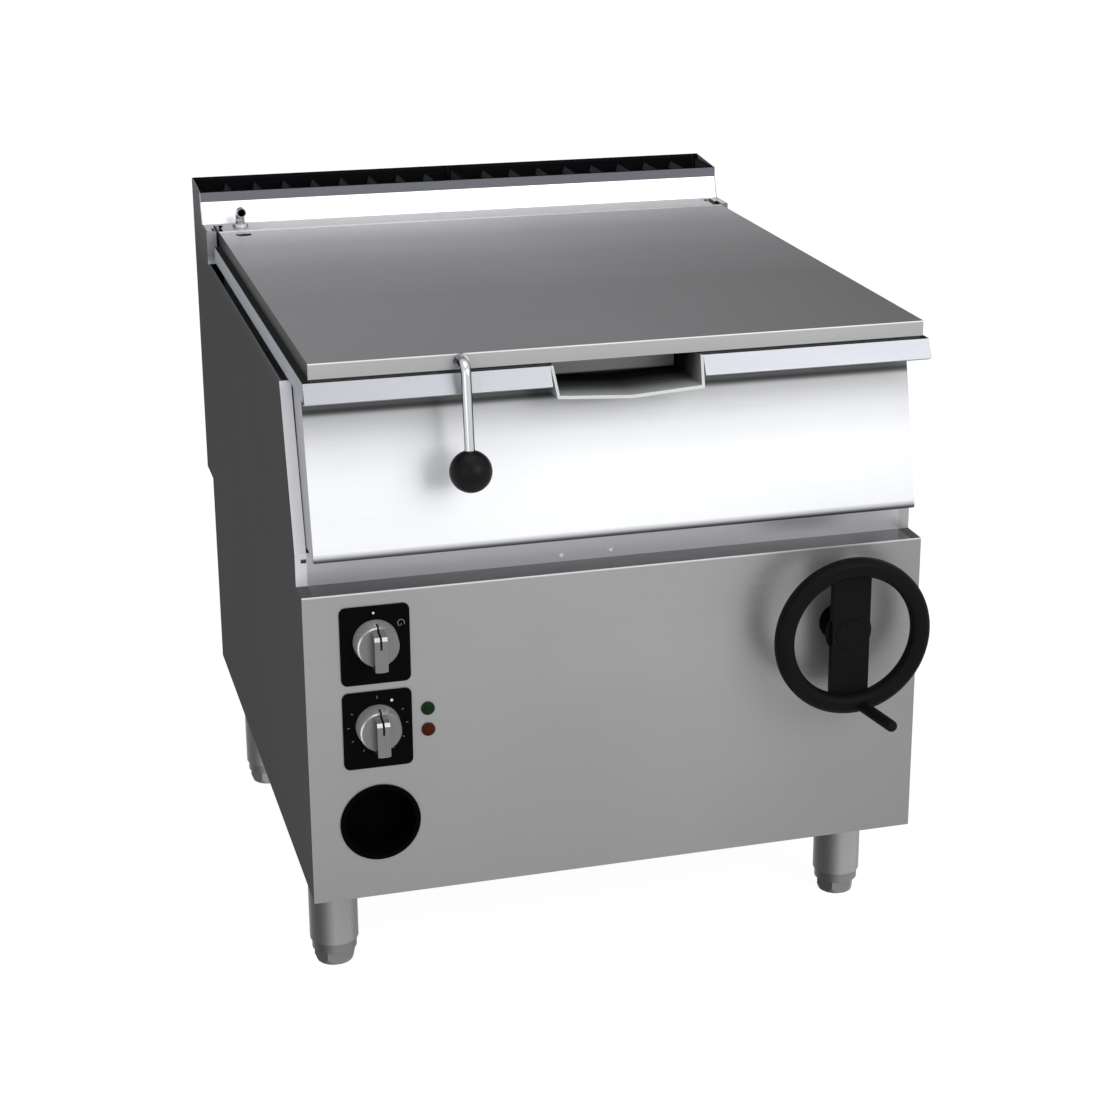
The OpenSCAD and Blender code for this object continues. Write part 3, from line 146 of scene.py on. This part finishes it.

# Painted light and shade on the apron: bright between a painted shade at its lower edge and a
# band of painted shadow and reflection of the rim's lip under that lip, and darker to the right
APRON_SHADE_X = ("X", [(-HALF_W, 1.0), (-0.1, 0.86), (0.23, 0.79), (HALF_W, 0.77)])
APRON_SHADE_Z = ("Z", [(0.6, 0.07), (0.6075, 0.08), (0.6095, 0.2), (0.6125, 0.6), (0.6165, 1.0),
                       (0.68, 1.0), (0.704, 0.97), (0.735, 0.83), (0.75, 0.705), (0.765, 0.58),
                       (0.7725, 0.53), (0.7745, 0.45), (0.777, 0.2), (0.7795, 0.065),
                       (0.782, 0.065), (0.7845, 0.13), (0.788, 0.15), (0.81, 0.12)])

# Painted light on the legs and feet: brighter at the rear
LEG_SHADE_Y = ("Y", [(-0.4, 1.0), (0.0, 1.0), (0.3, 1.6), (0.4, 1.6)])
FOOT_SHADE_Y = ("Y", [(-0.4, 1.0), (0.0, 1.0), (0.3, 1.8), (0.4, 1.8)])

# Painted shade in the grilles: black behind their front face
GRILLE_SHADE_Y = ("Y", [(GRILLE_Y, 1.0), (GRILLE_Y + 0.001, 1.0), (GRILLE_Y + 0.002, 0.03),
                        (GRILLE_Y + 0.09, 0.03)])

# Painted shade on the knobs: their grips darker than their bodies
KNOB_SHADE_Y = ("Y", [(GRIP_Y, 0.3), (FACE_Y - 0.0004, 0.35), (FACE_Y + 0.0018, 0.4),
                      (FACE_Y + 0.0024, 1.0), (BODY_END_Y, 1.0)])
KNOB_LEFT_SHADE_Y = ("Y", [(GRIP_Y, 0.1), (FACE_Y - 0.0004, 0.1), (FACE_Y, 1.0),
                           (BODY_END_Y, 1.0)])

# Painted shade on the splash plate: black below the part that shows through the spout
SPLASH_SHADE_Z = ("Z", [(0.78, 0.02), (0.7945, 0.02), (0.7965, 1.0), (0.834, 1.0)])

# The materials' noise: most of its values lie between two limits. Brushed steel has many
# lines across the brushing and few along it, over large clouds
NOISE_LOW = 0.3
NOISE_HIGH = 0.7
NEAR_WHITE = (0.97, 0.97, 0.97)
LINES_ACROSS = 900
LINES_ALONG = 9
LINE_SPREAD = 0.025
LINE_DEPTH = 0.0002
CLOUDS = 3.2
BLOTCHES = 25.0
SPECKLES = 900.0
SPECKLE_BUMPS = 0.15
ROUGH_SPREAD = 0.05

# The camera fitted to the photograph. CENTRE is where its axis meets the picture, and SIDE
# is the picture's side, both in pixels
AZIMUTH = -16.993
ELEVATION = 18.553
ROLL = 0.275
PLACE = (-0.7898, -3.0211, 1.5498)
LENS = 77.05
SENSOR = 36
CENTRE = (633.78, 515.51)
SIDE = 1100
VIEW_END = 100

# The stage, and its lamps as name, place, target, size and power
FLOOR_SIZE = 60
FLOOR_COLOR = (0.9, 0.9, 0.9, 1)
FLOOR_ROUGH = 0.9
FLOOR_GLOW = 1.15
FLOOR_SHARE = 0.82
AMBIENT = 0.42
AMBIENT_COLOR = (0.93, 0.95, 1.0, 1)
WHITE = (1, 1, 1, 1)
LAMPS = (("key", (1.6, -3.6, 2.4), (0, -0.2, 0.5), 2.4, 80),
         ("top", (-0.2, -0.6, 3.6), (0, 0, 0.6), 2.5, 35),
         ("fill", (-2.4, -2.8, 1.5), (0, -0.3, 0.6), 2.0, 18))


# Materials

def new_material(name):
    mat = bpy.data.materials.new(name)
    mat.use_nodes = True
    nodes = mat.node_tree.nodes
    nodes.clear()
    out = nodes.new("ShaderNodeOutputMaterial")
    shader = nodes.new("ShaderNodeBsdfPrincipled")
    mat.node_tree.links.new(shader.outputs[0], out.inputs[0])
    return mat, nodes, mat.node_tree.links, shader


def noise(nodes, links, scale, stretch=(1, 1, 1), detail=3.0, rough=0.5):
    where = nodes.new("ShaderNodeTexCoord")
    mapping = nodes.new("ShaderNodeMapping")
    mapping.inputs["Scale"].default_value = stretch
    links.new(where.outputs["Object"], mapping.inputs["Vector"])
    tex = nodes.new("ShaderNodeTexNoise")
    tex.inputs["Scale"].default_value = scale
    tex.inputs["Detail"].default_value = detail
    tex.inputs["Roughness"].default_value = rough
    links.new(mapping.outputs[0], tex.inputs["Vector"])
    return tex.outputs["Fac"]


# The noise's usual values spread over a range of another value
def ranged(nodes, links, value, low, high):
    node = nodes.new("ShaderNodeMapRange")
    node.inputs["From Min"].default_value = NOISE_LOW
    node.inputs["From Max"].default_value = NOISE_HIGH
    node.inputs["To Min"].default_value = low
    node.inputs["To Max"].default_value = high
    links.new(value, node.inputs["Value"])
    return node.outputs[0]


# A colour that the noise makes darker and brighter by a share
def tinted(nodes, links, value, color, spread):
    ramp = nodes.new("ShaderNodeValToRGB")
    ramp.color_ramp.elements[0].position = NOISE_LOW
    ramp.color_ramp.elements[1].position = NOISE_HIGH
    for element, k in zip(ramp.color_ramp.elements, (1 - spread, 1 + spread)):
        element.color = [min(c * k, 1) for c in color] + [1]
    links.new(value, ramp.inputs["Fac"])
    return ramp.outputs["Color"]


def bump(nodes, links, value, shader, strength, distance):
    node = nodes.new("ShaderNodeBump")
    node.inputs["Strength"].default_value = strength
    node.inputs["Distance"].default_value = distance
    links.new(value, node.inputs["Height"])
    links.new(node.outputs[0], shader.inputs["Normal"])


def mixed(nodes, links, kind, a, b, factor):
    node = nodes.new("ShaderNodeMix")
    node.data_type = "RGBA"
    node.blend_type = kind
    for name, value in (("Factor", factor), ("A", a), ("B", b)):
        socket = [i for i in node.inputs if i.name == name and i.enabled][0]
        if isinstance(value, bpy.types.NodeSocket):
            links.new(value, socket)
        elif name == "Factor":
            socket.default_value = value
        else:
            socket.default_value = list(value) + [1]
    return [o for o in node.outputs if o.enabled][0]


def multiplied(nodes, links, a, b):
    return mixed(nodes, links, "MULTIPLY", a, b, 1.0)


# How much a surface faces a direction of its own frame, from 0 at low to 1 at high
def facing(nodes, links, direction, low, high):
    where = nodes.new("ShaderNodeTexCoord")
    dot = nodes.new("ShaderNodeVectorMath")
    dot.operation = "DOT_PRODUCT"
    dot.inputs[1].default_value = direction
    links.new(where.outputs["Normal"], dot.inputs[0])
    share = nodes.new("ShaderNodeMapRange")
    share.inputs["From Min"].default_value = low
    share.inputs["From Max"].default_value = high
    share.interpolation_type = "SMOOTHSTEP"
    links.new(dot.outputs["Value"], share.inputs["Value"])
    return share.outputs[0]


# A grey that changes along an axis, through stops of (place, brightness)
def fading(nodes, links, axis, stops):
    where = nodes.new("ShaderNodeTexCoord")
    split = nodes.new("ShaderNodeSeparateXYZ")
    links.new(where.outputs["Object"], split.inputs[0])
    first, last = stops[0][0], stops[-1][0]
    place = nodes.new("ShaderNodeMapRange")
    place.inputs["From Min"].default_value = first
    place.inputs["From Max"].default_value = last
    links.new(split.outputs[axis], place.inputs["Value"])
    ramp = nodes.new("ShaderNodeValToRGB")
    elements = ramp.color_ramp.elements
    for at, k in stops[1:-1]:
        elements.new((at - first) / (last - first)).color = (k, k, k, 1)
    for element, (_, k) in ((elements[0], stops[0]), (elements[-1], stops[-1])):
        element.color = (k, k, k, 1)
    links.new(place.outputs[0], ramp.inputs["Fac"])
    return ramp.outputs["Color"]


def shaded(nodes, links, tone, shades):
    for axis, stops in shades:
        tone = multiplied(nodes, links, tone, fading(nodes, links, axis, stops))
    return tone


# Brushed steel: fine lines along one axis over a faint cloudy variation. faces paints some
# sides lighter or darker by the way they face, as painted light and shade, each as (direction,
# tone) and any painted shades of that side. fades are the painted light and shade of the main
# tone, and over are those of the main tone and all sides
def steel(name, color, faces=(), fades=(), along="X", metallic=0.55, rough=(0.3, 0.42),
          cloud=0.03, bumps=0.05, grazing=1.0, specular=0.5, over=()):
    mat, nodes, links, shader = new_material(name)
    stretch = [LINES_ACROSS] * 3
    stretch["XYZ".index(along)] = LINES_ALONG
    lines = noise(nodes, links, 1.0, stretch, detail=4.0, rough=0.6)
    clouds = noise(nodes, links, CLOUDS, detail=2.0)
    tone = multiplied(nodes, links, tinted(nodes, links, lines, NEAR_WHITE, LINE_SPREAD),
                      tinted(nodes, links, clouds, NEAR_WHITE, cloud))
    base = shaded(nodes, links, multiplied(nodes, links, tone, color), fades)
    for (direction, low, high), side, *shades in faces:
        other = shaded(nodes, links, multiplied(nodes, links, tone, side), shades)
        base = mixed(nodes, links, "MIX", base, other,
                     facing(nodes, links, direction, low, high))
    links.new(shaded(nodes, links, base, over), shader.inputs["Base Color"])
    shader.inputs["Metallic"].default_value = metallic
    shader.inputs["Specular IOR Level"].default_value = specular
    shader.inputs["Specular Tint"].default_value = (grazing, grazing, grazing, 1)
    links.new(ranged(nodes, links, lines, *rough), shader.inputs["Roughness"])
    bump(nodes, links, lines, shader, bumps, LINE_DEPTH)
    return mat


# Plastic, plain metal or wool: a faintly blotchy colour with a fine grain
def plastic(name, color, rough=0.45, grain=0.0004, spread=0.08, metallic=0.0, specular=0.5):
    mat, nodes, links, shader = new_material(name)
    speckle = noise(nodes, links, SPECKLES, detail=2.0)
    links.new(tinted(nodes, links, noise(nodes, links, BLOTCHES), color, spread),
              shader.inputs["Base Color"])
    links.new(ranged(nodes, links, speckle, rough - ROUGH_SPREAD, rough + ROUGH_SPREAD),
              shader.inputs["Roughness"])
    shader.inputs["Metallic"].default_value = metallic
    shader.inputs["Specular IOR Level"].default_value = specular
    bump(nodes, links, speckle, shader, SPECKLE_BUMPS, grain)
    return mat


def lens(name, color, scale=400.0, spread=0.12, rough=0.3, specular=0.03):
    mat, nodes, links, shader = new_material(name)
    links.new(tinted(nodes, links, noise(nodes, links, scale), color, spread),
              shader.inputs["Base Color"])
    shader.inputs["Roughness"].default_value = rough
    shader.inputs["Specular IOR Level"].default_value = specular
    return mat


def dress(material, *names):
    for name in names:
        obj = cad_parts[name]
        obj.data.materials.clear()
        obj.data.materials.append(material)


# The steel parts here and in the pan, lid and knobs are one brushed steel: their tones by part
# and by the side they face are painted light and shade
def dress_cabinet():
    dress(steel("panel_steel", (0.32, 0.32, 0.321), fades=[PANEL_SHADE_X, PANEL_SHADE_Z]),
          "front_panel")
    # Painted light: the shelf's top dark and its front face bright
    dress(steel("shelf_steel", (0.082, 0.082, 0.086), [(FRONT, (0.5, 0.5, 0.515))]),
          "front_shelf")
    # Painted light and shade: dark left, right and top faces, and bright front folds
    dress(steel("side_steel", (0.5, 0.5, 0.51),
                [(LEFT, (0.122, 0.122, 0.121)), (RIGHT, (0.09, 0.09, 0.09)),
                 (FRONT, (0.85, 0.85, 0.87), FOLD_SHADE_X, FOLD_SHADE_Z),
                 (UP, (0.15, 0.15, 0.15))],
                along="Z", metallic=0.3, grazing=0.05, specular=0.0, over=[SIDE_SHADE_Z]),
          "side_panel_left", "side_panel_right")
    dress(steel("plain_steel", (0.3, 0.3, 0.31)),
          "base_plate", "back_panel", "pan_arms", "lid_liner")
    # Painted shade: the flue's top and front faces near black
    dress(steel("flue_steel", (0.3, 0.3, 0.31),
                [(UP, (0.01, 0.01, 0.012)), (FRONT, (0.01, 0.01, 0.012))],
                metallic=0.3, grazing=0.05, specular=0.0),
          "flue_back")
    # Painted light: the ledge's front faces brighter
    dress(steel("ledge_steel", (0.42, 0.415, 0.43),
                [(FRONT, (0.85, 0.86, 0.87), LEDGE_FRONT_SHADE_Z)], [LEDGE_SHADE_X]),
          "ledge", "tap_base")
    # Painted shade: the grilles' top and right faces near black and their left faces dark
    dress(steel("grille_enamel", (0.19, 0.195, 0.215),
                [(UP, (0.006, 0.006, 0.008)), (LEFT, (0.05, 0.05, 0.06)),
                 (RIGHT, (0.006, 0.006, 0.008))], [GRILLE_SHADE_Y],
                metallic=0.0, rough=(0.5, 0.6), specular=0.0),
          "grille_left", "grille_right")
    # Painted shade: the round sides of the legs and feet darker to the left and right
    dress(steel("leg_steel", (0.34, 0.34, 0.34),
                [(ROUND_LEFT, (0.06, 0.06, 0.06)), (ROUND_RIGHT, (0.1, 0.1, 0.1))],
                along="Z", over=[LEG_SHADE_Y]),
          "legs")
    dress(steel("foot_steel", (0.22, 0.22, 0.22),
                [(ROUND_LEFT, (0.04, 0.04, 0.04)), (ROUND_RIGHT, (0.07, 0.07, 0.07))],
                along="Z", over=[FOOT_SHADE_Y]),
          "foot_front_left", "foot_front_right", "foot_rear_left", "foot_rear_right")
    dress(plastic("chrome", (0.6, 0.61, 0.63), 0.14, 0.0001, 0.03, metallic=1.0),
          "swivel_tap")


def dress_pan():
    dress(steel("casing_steel", (0.42, 0.42, 0.435), metallic=0.3, grazing=0.3), "pan_casing")
    dress(steel("vessel_steel", (0.55, 0.56, 0.58)), "pan_vessel")
    # Painted light and shade: the rim's front, left and top faces lit to tones of their own,
    # the left bluish and brighter
    dress(steel("rim_steel", (0.4, 0.41, 0.43),
                [(FRONT, (0.4, 0.41, 0.44)), (LEFT, (0.6, 0.63, 0.66)),
                 (UP, (0.45, 0.45, 0.46), RIM_TOP_SHADE_X, RIM_TOP_SHADE_Y)], [RIM_SHADE_X],
                metallic=0.4, grazing=0.05, specular=0.0),
          "pan_rim")
    # Painted shade: the spout's front a little darker
    dress(steel("spout_steel", (0.45, 0.46, 0.45), [(FRONT, (0.42, 0.43, 0.42))],
                [SPOUT_SHADE_Y], metallic=0.3, grazing=0.1, specular=0.0),
          "pour_spout")
    # Painted shade: the apron's left-facing faces darker
    dress(steel("apron_steel", (0.8, 0.805, 0.82), [(LEFT, (0.52, 0.52, 0.545))],
                [APRON_SHADE_Z, APRON_SHADE_X], metallic=0.4, grazing=0.5, specular=0.15),
          "apron")
    dress(plastic("mineral_wool", (0.5, 0.45, 0.3), 0.9), "pan_insulation")
    dress(plastic("element_steel", (0.08, 0.07, 0.06), 0.5, metallic=0.6), "heating_elements")


def dress_lid():
    # Painted light and shade: the lid's front brighter, its left and right sides dark
    dress(steel("lid_steel", (0.28, 0.28, 0.288),
                [(FRONT, (0.42, 0.42, 0.42), LID_FRONT_SHADE_Z),
                 (LEFT, (0.05, 0.051, 0.052)), (RIGHT, (0.1, 0.1, 0.102))],
                [LID_SHADE_Y, LID_SHADE_X], cloud=0.05, grazing=0.3, specular=0.05),
          "lid_shell")
    dress(steel("arm_steel", (0.06, 0.06, 0.06), grazing=0.3, specular=0.1), "lid_arms")
    # Painted reflection: the chrome lever's left and right sides dark
    dress(steel("lever_chrome", (0.6, 0.61, 0.63),
                [(LEVER_LEFT, (0.04, 0.04, 0.045)), (LEVER_RIGHT, (0.1, 0.1, 0.11))],
                along="Z", metallic=0.9, rough=(0.14, 0.2), bumps=0.0, grazing=0.05,
                specular=0.2),
          "lid_lever")
    dress(plastic("ball_plastic", (0.004, 0.004, 0.0042), 0.4, specular=0.1), "lid_ball")


def dress_controls():
    # Painted light and shade on the knobs: bright sides, darker faces and grips, and a painted
    # highlight on surfaces slanting up towards the front
    dress(steel("knob_steel", (0.9, 0.9, 0.91),
                [(KNOB_FACE, (0.185, 0.185, 0.19)), (LEFT, (0.9, 0.9, 0.9), KNOB_LEFT_SHADE_Y),
                 (KNOB_PAINTED_HIGHLIGHT, (0.5, 0.5, 0.5))], [KNOB_SHADE_Y],
                along="Z", metallic=0.7, rough=(0.25, 0.34)),
          "selector_knob", "thermostat_knob")
    dress(plastic("black_plastic", (0.002, 0.002, 0.0018), 0.55, specular=0.02),
          "control_plates")
    dress(plastic("recess_plastic", (0.0015, 0.0015, 0.0015), 0.6, specular=0.01),
          "round_recess", "shaft_bearings")
    dress(plastic("wheel_plastic", (0.0045, 0.0045, 0.0047), 0.5, specular=0.05),
          "handwheel", "crank_grip")
    dress(lens("green_lens", (0.006, 0.024, 0.007)), "pilot_light_green")
    dress(lens("orange_lens", (0.05, 0.01, 0.004)), "pilot_light_orange")


def dress_inside():
    dress(steel("shaft_steel", (0.5, 0.5, 0.51), metallic=0.9),
          "drive_shaft", "cross_shaft", "worm", "grip_pin", "selector_spindle",
          "thermostat_spindle")
    dress(plastic("frame_zinc", (0.16, 0.165, 0.17), 0.5, metallic=0.4, specular=0.2),
          "front_beam", "cross_beam", "pivot_blocks", "shaft_brackets", "hinge_ears",
          "link_brackets", "crank_arms", "links")
    dress(plastic("bronze", (0.45, 0.3, 0.13), 0.35, metallic=0.9), "worm_wheel")
    dress(plastic("copper", (0.6, 0.3, 0.18), 0.35, metallic=0.9),
          "water_pipe", "thermostat_bulb")
    dress(plastic("dark_plastic", (0.02, 0.02, 0.02), 0.5), "control_switches", "lid_buffers")
    dress(plastic("grey_plastic", (0.22, 0.225, 0.23), 0.5), "cable_gland", "terminal_box")


# Pieces

def add_piece(name, bm, material, body):
    mesh = bpy.data.meshes.new(name)
    bm.to_mesh(mesh)
    bm.free()
    obj = bpy.data.objects.new(name, mesh)
    bpy.context.collection.objects.link(obj)
    obj.data.materials.append(material)
    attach(obj, body)


# Closes the prism between two outlines of as many corners
def close_prism(bm, start, end):
    bm.faces.new(start)
    bm.faces.new(list(reversed(end)))
    for i in range(len(start)):
        j = (i + 1) % len(start)
        bm.faces.new((start[j], start[i], end[i], end[j]))


# Adds a prism to bm: points in X and Z, from y forwards by depth
def add_prism(bm, points, y, depth):
    back = [bm.verts.new((x, y, z)) for x, z in points]
    front = [bm.verts.new((x, y - depth, z)) for x, z in points]
    close_prism(bm, back, front)


# Adds a prism to bm: points in Y and Z, from x to the right by width
def add_side_prism(bm, points, x, width):
    left = [bm.verts.new((x, y, z)) for y, z in points]
    right = [bm.verts.new((x + width, y, z)) for y, z in points]
    close_prism(bm, left, right)


def disc(centre, r, count=20):
    return [(centre[0] + r * math.cos(2 * math.pi * i / count),
             centre[1] + r * math.sin(2 * math.pi * i / count)) for i in range(count)]


# A bar on the dial, at an angle clockwise from the top, between two radii
def dial_bar(centre, angle, r1, r2):
    a = math.radians(angle)
    out = Vector((math.sin(a), math.cos(a)))
    side = Vector((out.y, -out.x)) * LINE_W / 2
    c = Vector(centre)
    return [tuple(c + out * r1 - side), tuple(c + out * r2 - side),
            tuple(c + out * r2 + side), tuple(c + out * r1 + side)]


def dial_place(centre, angle, r):
    a = math.radians(angle)
    return (centre[0] + r * math.sin(a), centre[1] + r * math.cos(a))


def arc_band(centre, r, start, end, count=14):
    outer = [dial_place(centre, start + (end - start) * i / count, r + LINE_W / 2)
             for i in range(count + 1)]
    inner = [dial_place(centre, start + (end - start) * i / count, r - LINE_W / 2)
             for i in range(count + 1)]
    return outer + list(reversed(inner))


def add_marks():
    ink = plastic("mark_white", (0.6, 0.6, 0.6), 0.5)
    faint = plastic("mark_grey", (0.13, 0.13, 0.14), 0.5)
    bm = bmesh.new()
    for centre, (angle, r) in ((UPPER, UPPER_DOT), (LOWER, LOWER_DOT)):
        add_prism(bm, disc(dial_place(centre, angle, MARK_R), r), PLATE_Y, MARK_T)
    add_piece("dial_dots", bm, ink, "cabinet")
    symbol = dial_place(UPPER, SYMBOL_ANGLE, MARK_R + SYMBOL_OUT)
    outlines = [arc_band(symbol, SYMBOL_R, *SYMBOL_ARC),
                dial_bar(symbol, SYMBOL_LINE_ANGLE, *SYMBOL_LINE),
                dial_bar(LOWER, 0, *[MARK_R + out for out in TOP_LINE])]
    outlines += [dial_bar(LOWER, SCALE_START + SCALE_STEP * i,
                          *[MARK_R + out for out in SCALE_LINE]) for i in range(SCALE_COUNT)]
    bm = bmesh.new()
    for outline in outlines:
        add_prism(bm, outline, PLATE_Y, MARK_T)
    add_piece("dial_marks", bm, faint, "cabinet")


def add_pointers():
    black = plastic("pointer_black", (0.003, 0.003, 0.003), 0.5, specular=0.1)
    for name, (x, z), body in (("selector_pointer", UPPER, "selector"),
                               ("thermostat_pointer", LOWER, "thermostat")):
        bm = bmesh.new()
        points = [(KNOB_Y - h * KNOB_H, z + r * KNOB_R) for r, h in GROOVE]
        add_side_prism(bm, points, x - GROOVE_W / 2 * KNOB_R, GROOVE_W * KNOB_R)
        add_piece(name, bm, black, body)


# Small domed rivet heads on the riser, below the apron, in a near-white that is a painted
# highlight
def add_rivets():
    bright = plastic("rivet_steel_and_highlight", (0.98, 0.98, 1.0), 0.4, metallic=0.2)
    bm = bmesh.new()
    rings = [(r * RIVET_R, h * RIVET_R) for r, h in RIVET_RINGS]
    angles = [2 * math.pi * i / RIVET_SIDES for i in range(RIVET_SIDES)]
    for x, z in RIVETS:
        loops = [[bm.verts.new((x + r * math.cos(a), RISER_Y - h, z + r * math.sin(a)))
                  for a in angles] for r, h in rings]
        for inner, outer in zip(loops[1:], loops):
            for i in range(RIVET_SIDES):
                j = (i + 1) % RIVET_SIDES
                bm.faces.new((outer[i], outer[j], inner[j], inner[i]))
        bm.faces.new(loops[-1])
        bm.faces.new(list(reversed(loops[0])))
    bmesh.ops.recalc_face_normals(bm, faces=bm.faces)
    add_piece("riser_rivets", bm, bright, "cabinet")


# The lid's splash plate, which hangs just inside the vessel behind the spout
def add_splash_plate():
    grey = steel("splash_steel", (0.5, 0.49, 0.52), over=[SPLASH_SHADE_Z])
    bm = bmesh.new()
    add_prism(bm, [(-SPLASH_HALF_W, SPLASH_BOTTOM), (SPLASH_HALF_W, SPLASH_BOTTOM),
                   (SPLASH_HALF_W, SPLASH_TOP), (-SPLASH_HALF_W, SPLASH_TOP)],
              SPLASH_Y, SPLASH_T)
    add_piece("lid_splash_plate", bm, grey, "lid")


# Stage

# 1 where the camera looks at the surface straight or in a gloss or through glass
def looked_at(nodes, links):
    path = nodes.new("ShaderNodeLightPath")
    seen = path.outputs["Is Camera Ray"]
    for name in ("Is Glossy Ray", "Is Transmission Ray"):
        larger = nodes.new("ShaderNodeMath")
        larger.operation = "MAXIMUM"
        links.new(seen, larger.inputs[0])
        links.new(path.outputs[name], larger.inputs[1])
        seen = larger.outputs[0]
    return seen


def mixed_shader(nodes, links, factor, a, b, out):
    both = nodes.new("ShaderNodeMixShader")
    links.new(factor, both.inputs[0])
    links.new(a.outputs[0], both.inputs[1])
    links.new(b.outputs[0], both.inputs[2])
    links.new(both.outputs[0], out.inputs[0])


def add_floor():
    bpy.ops.mesh.primitive_plane_add(size=FLOOR_SIZE, location=(0, 0, 0))
    floor = bpy.context.object
    floor.name = "floor"
    mat, nodes, links, shader = new_material("floor_white")
    shader.inputs["Base Color"].default_value = FLOOR_COLOR
    shader.inputs["Roughness"].default_value = FLOOR_ROUGH
    glow = nodes.new("ShaderNodeEmission")
    glow.inputs["Strength"].default_value = FLOOR_GLOW
    share = nodes.new("ShaderNodeMath")
    share.operation = "MULTIPLY"
    share.inputs[1].default_value = FLOOR_SHARE
    links.new(looked_at(nodes, links), share.inputs[0])
    mixed_shader(nodes, links, share.outputs[0], shader, glow, nodes["Material Output"])
    floor.data.materials.append(mat)


def new_background(nodes, color, strength):
    background = nodes.new("ShaderNodeBackground")
    background.inputs["Color"].default_value = color
    background.inputs["Strength"].default_value = strength
    return background


def set_world():
    world = bpy.data.worlds.new("studio")
    bpy.context.scene.world = world
    world.use_nodes = True
    nodes, links = world.node_tree.nodes, world.node_tree.links
    nodes.clear()
    out = nodes.new("ShaderNodeOutputWorld")
    ambient = new_background(nodes, AMBIENT_COLOR, AMBIENT)
    white = new_background(nodes, WHITE, 1.0)
    mixed_shader(nodes, links, looked_at(nodes, links), ambient, white, out)


def add_lamps():
    for name, place, target, size, power in LAMPS:
        data = bpy.data.lights.new(name, "AREA")
        data.shape = "SQUARE"
        data.size = size
        data.energy = power
        obj = bpy.data.objects.new(name, data)
        bpy.context.collection.objects.link(obj)
        obj.location = place
        aim = Vector(target) - Vector(place)
        obj.rotation_euler = aim.to_track_quat("-Z", "Y").to_euler()


def add_camera():
    data = bpy.data.cameras.new("camera")
    obj = bpy.data.objects.new("camera", data)
    bpy.context.collection.objects.link(obj)
    data.sensor_width = SENSOR
    data.lens = LENS
    data.shift_x = (SIDE / 2 - CENTRE[0]) / SIDE
    data.shift_y = (CENTRE[1] - SIDE / 2) / SIDE
    data.clip_end = VIEW_END
    turn = (Matrix.Rotation(math.radians(AZIMUTH), 4, "Z")
            @ Matrix.Rotation(math.radians(90 - ELEVATION), 4, "X")
            @ Matrix.Rotation(math.radians(ROLL), 4, "Z"))
    obj.matrix_world = Matrix.Translation(PLACE) @ turn
    bpy.context.scene.camera = obj


def set_view():
    bpy.context.scene.view_settings.view_transform = "Standard"


add_camera()
dress_cabinet()
dress_pan()
dress_lid()
dress_controls()
dress_inside()
add_marks()
add_pointers()
add_rivets()
add_splash_plate()
add_floor()
set_world()
add_lamps()
set_view()
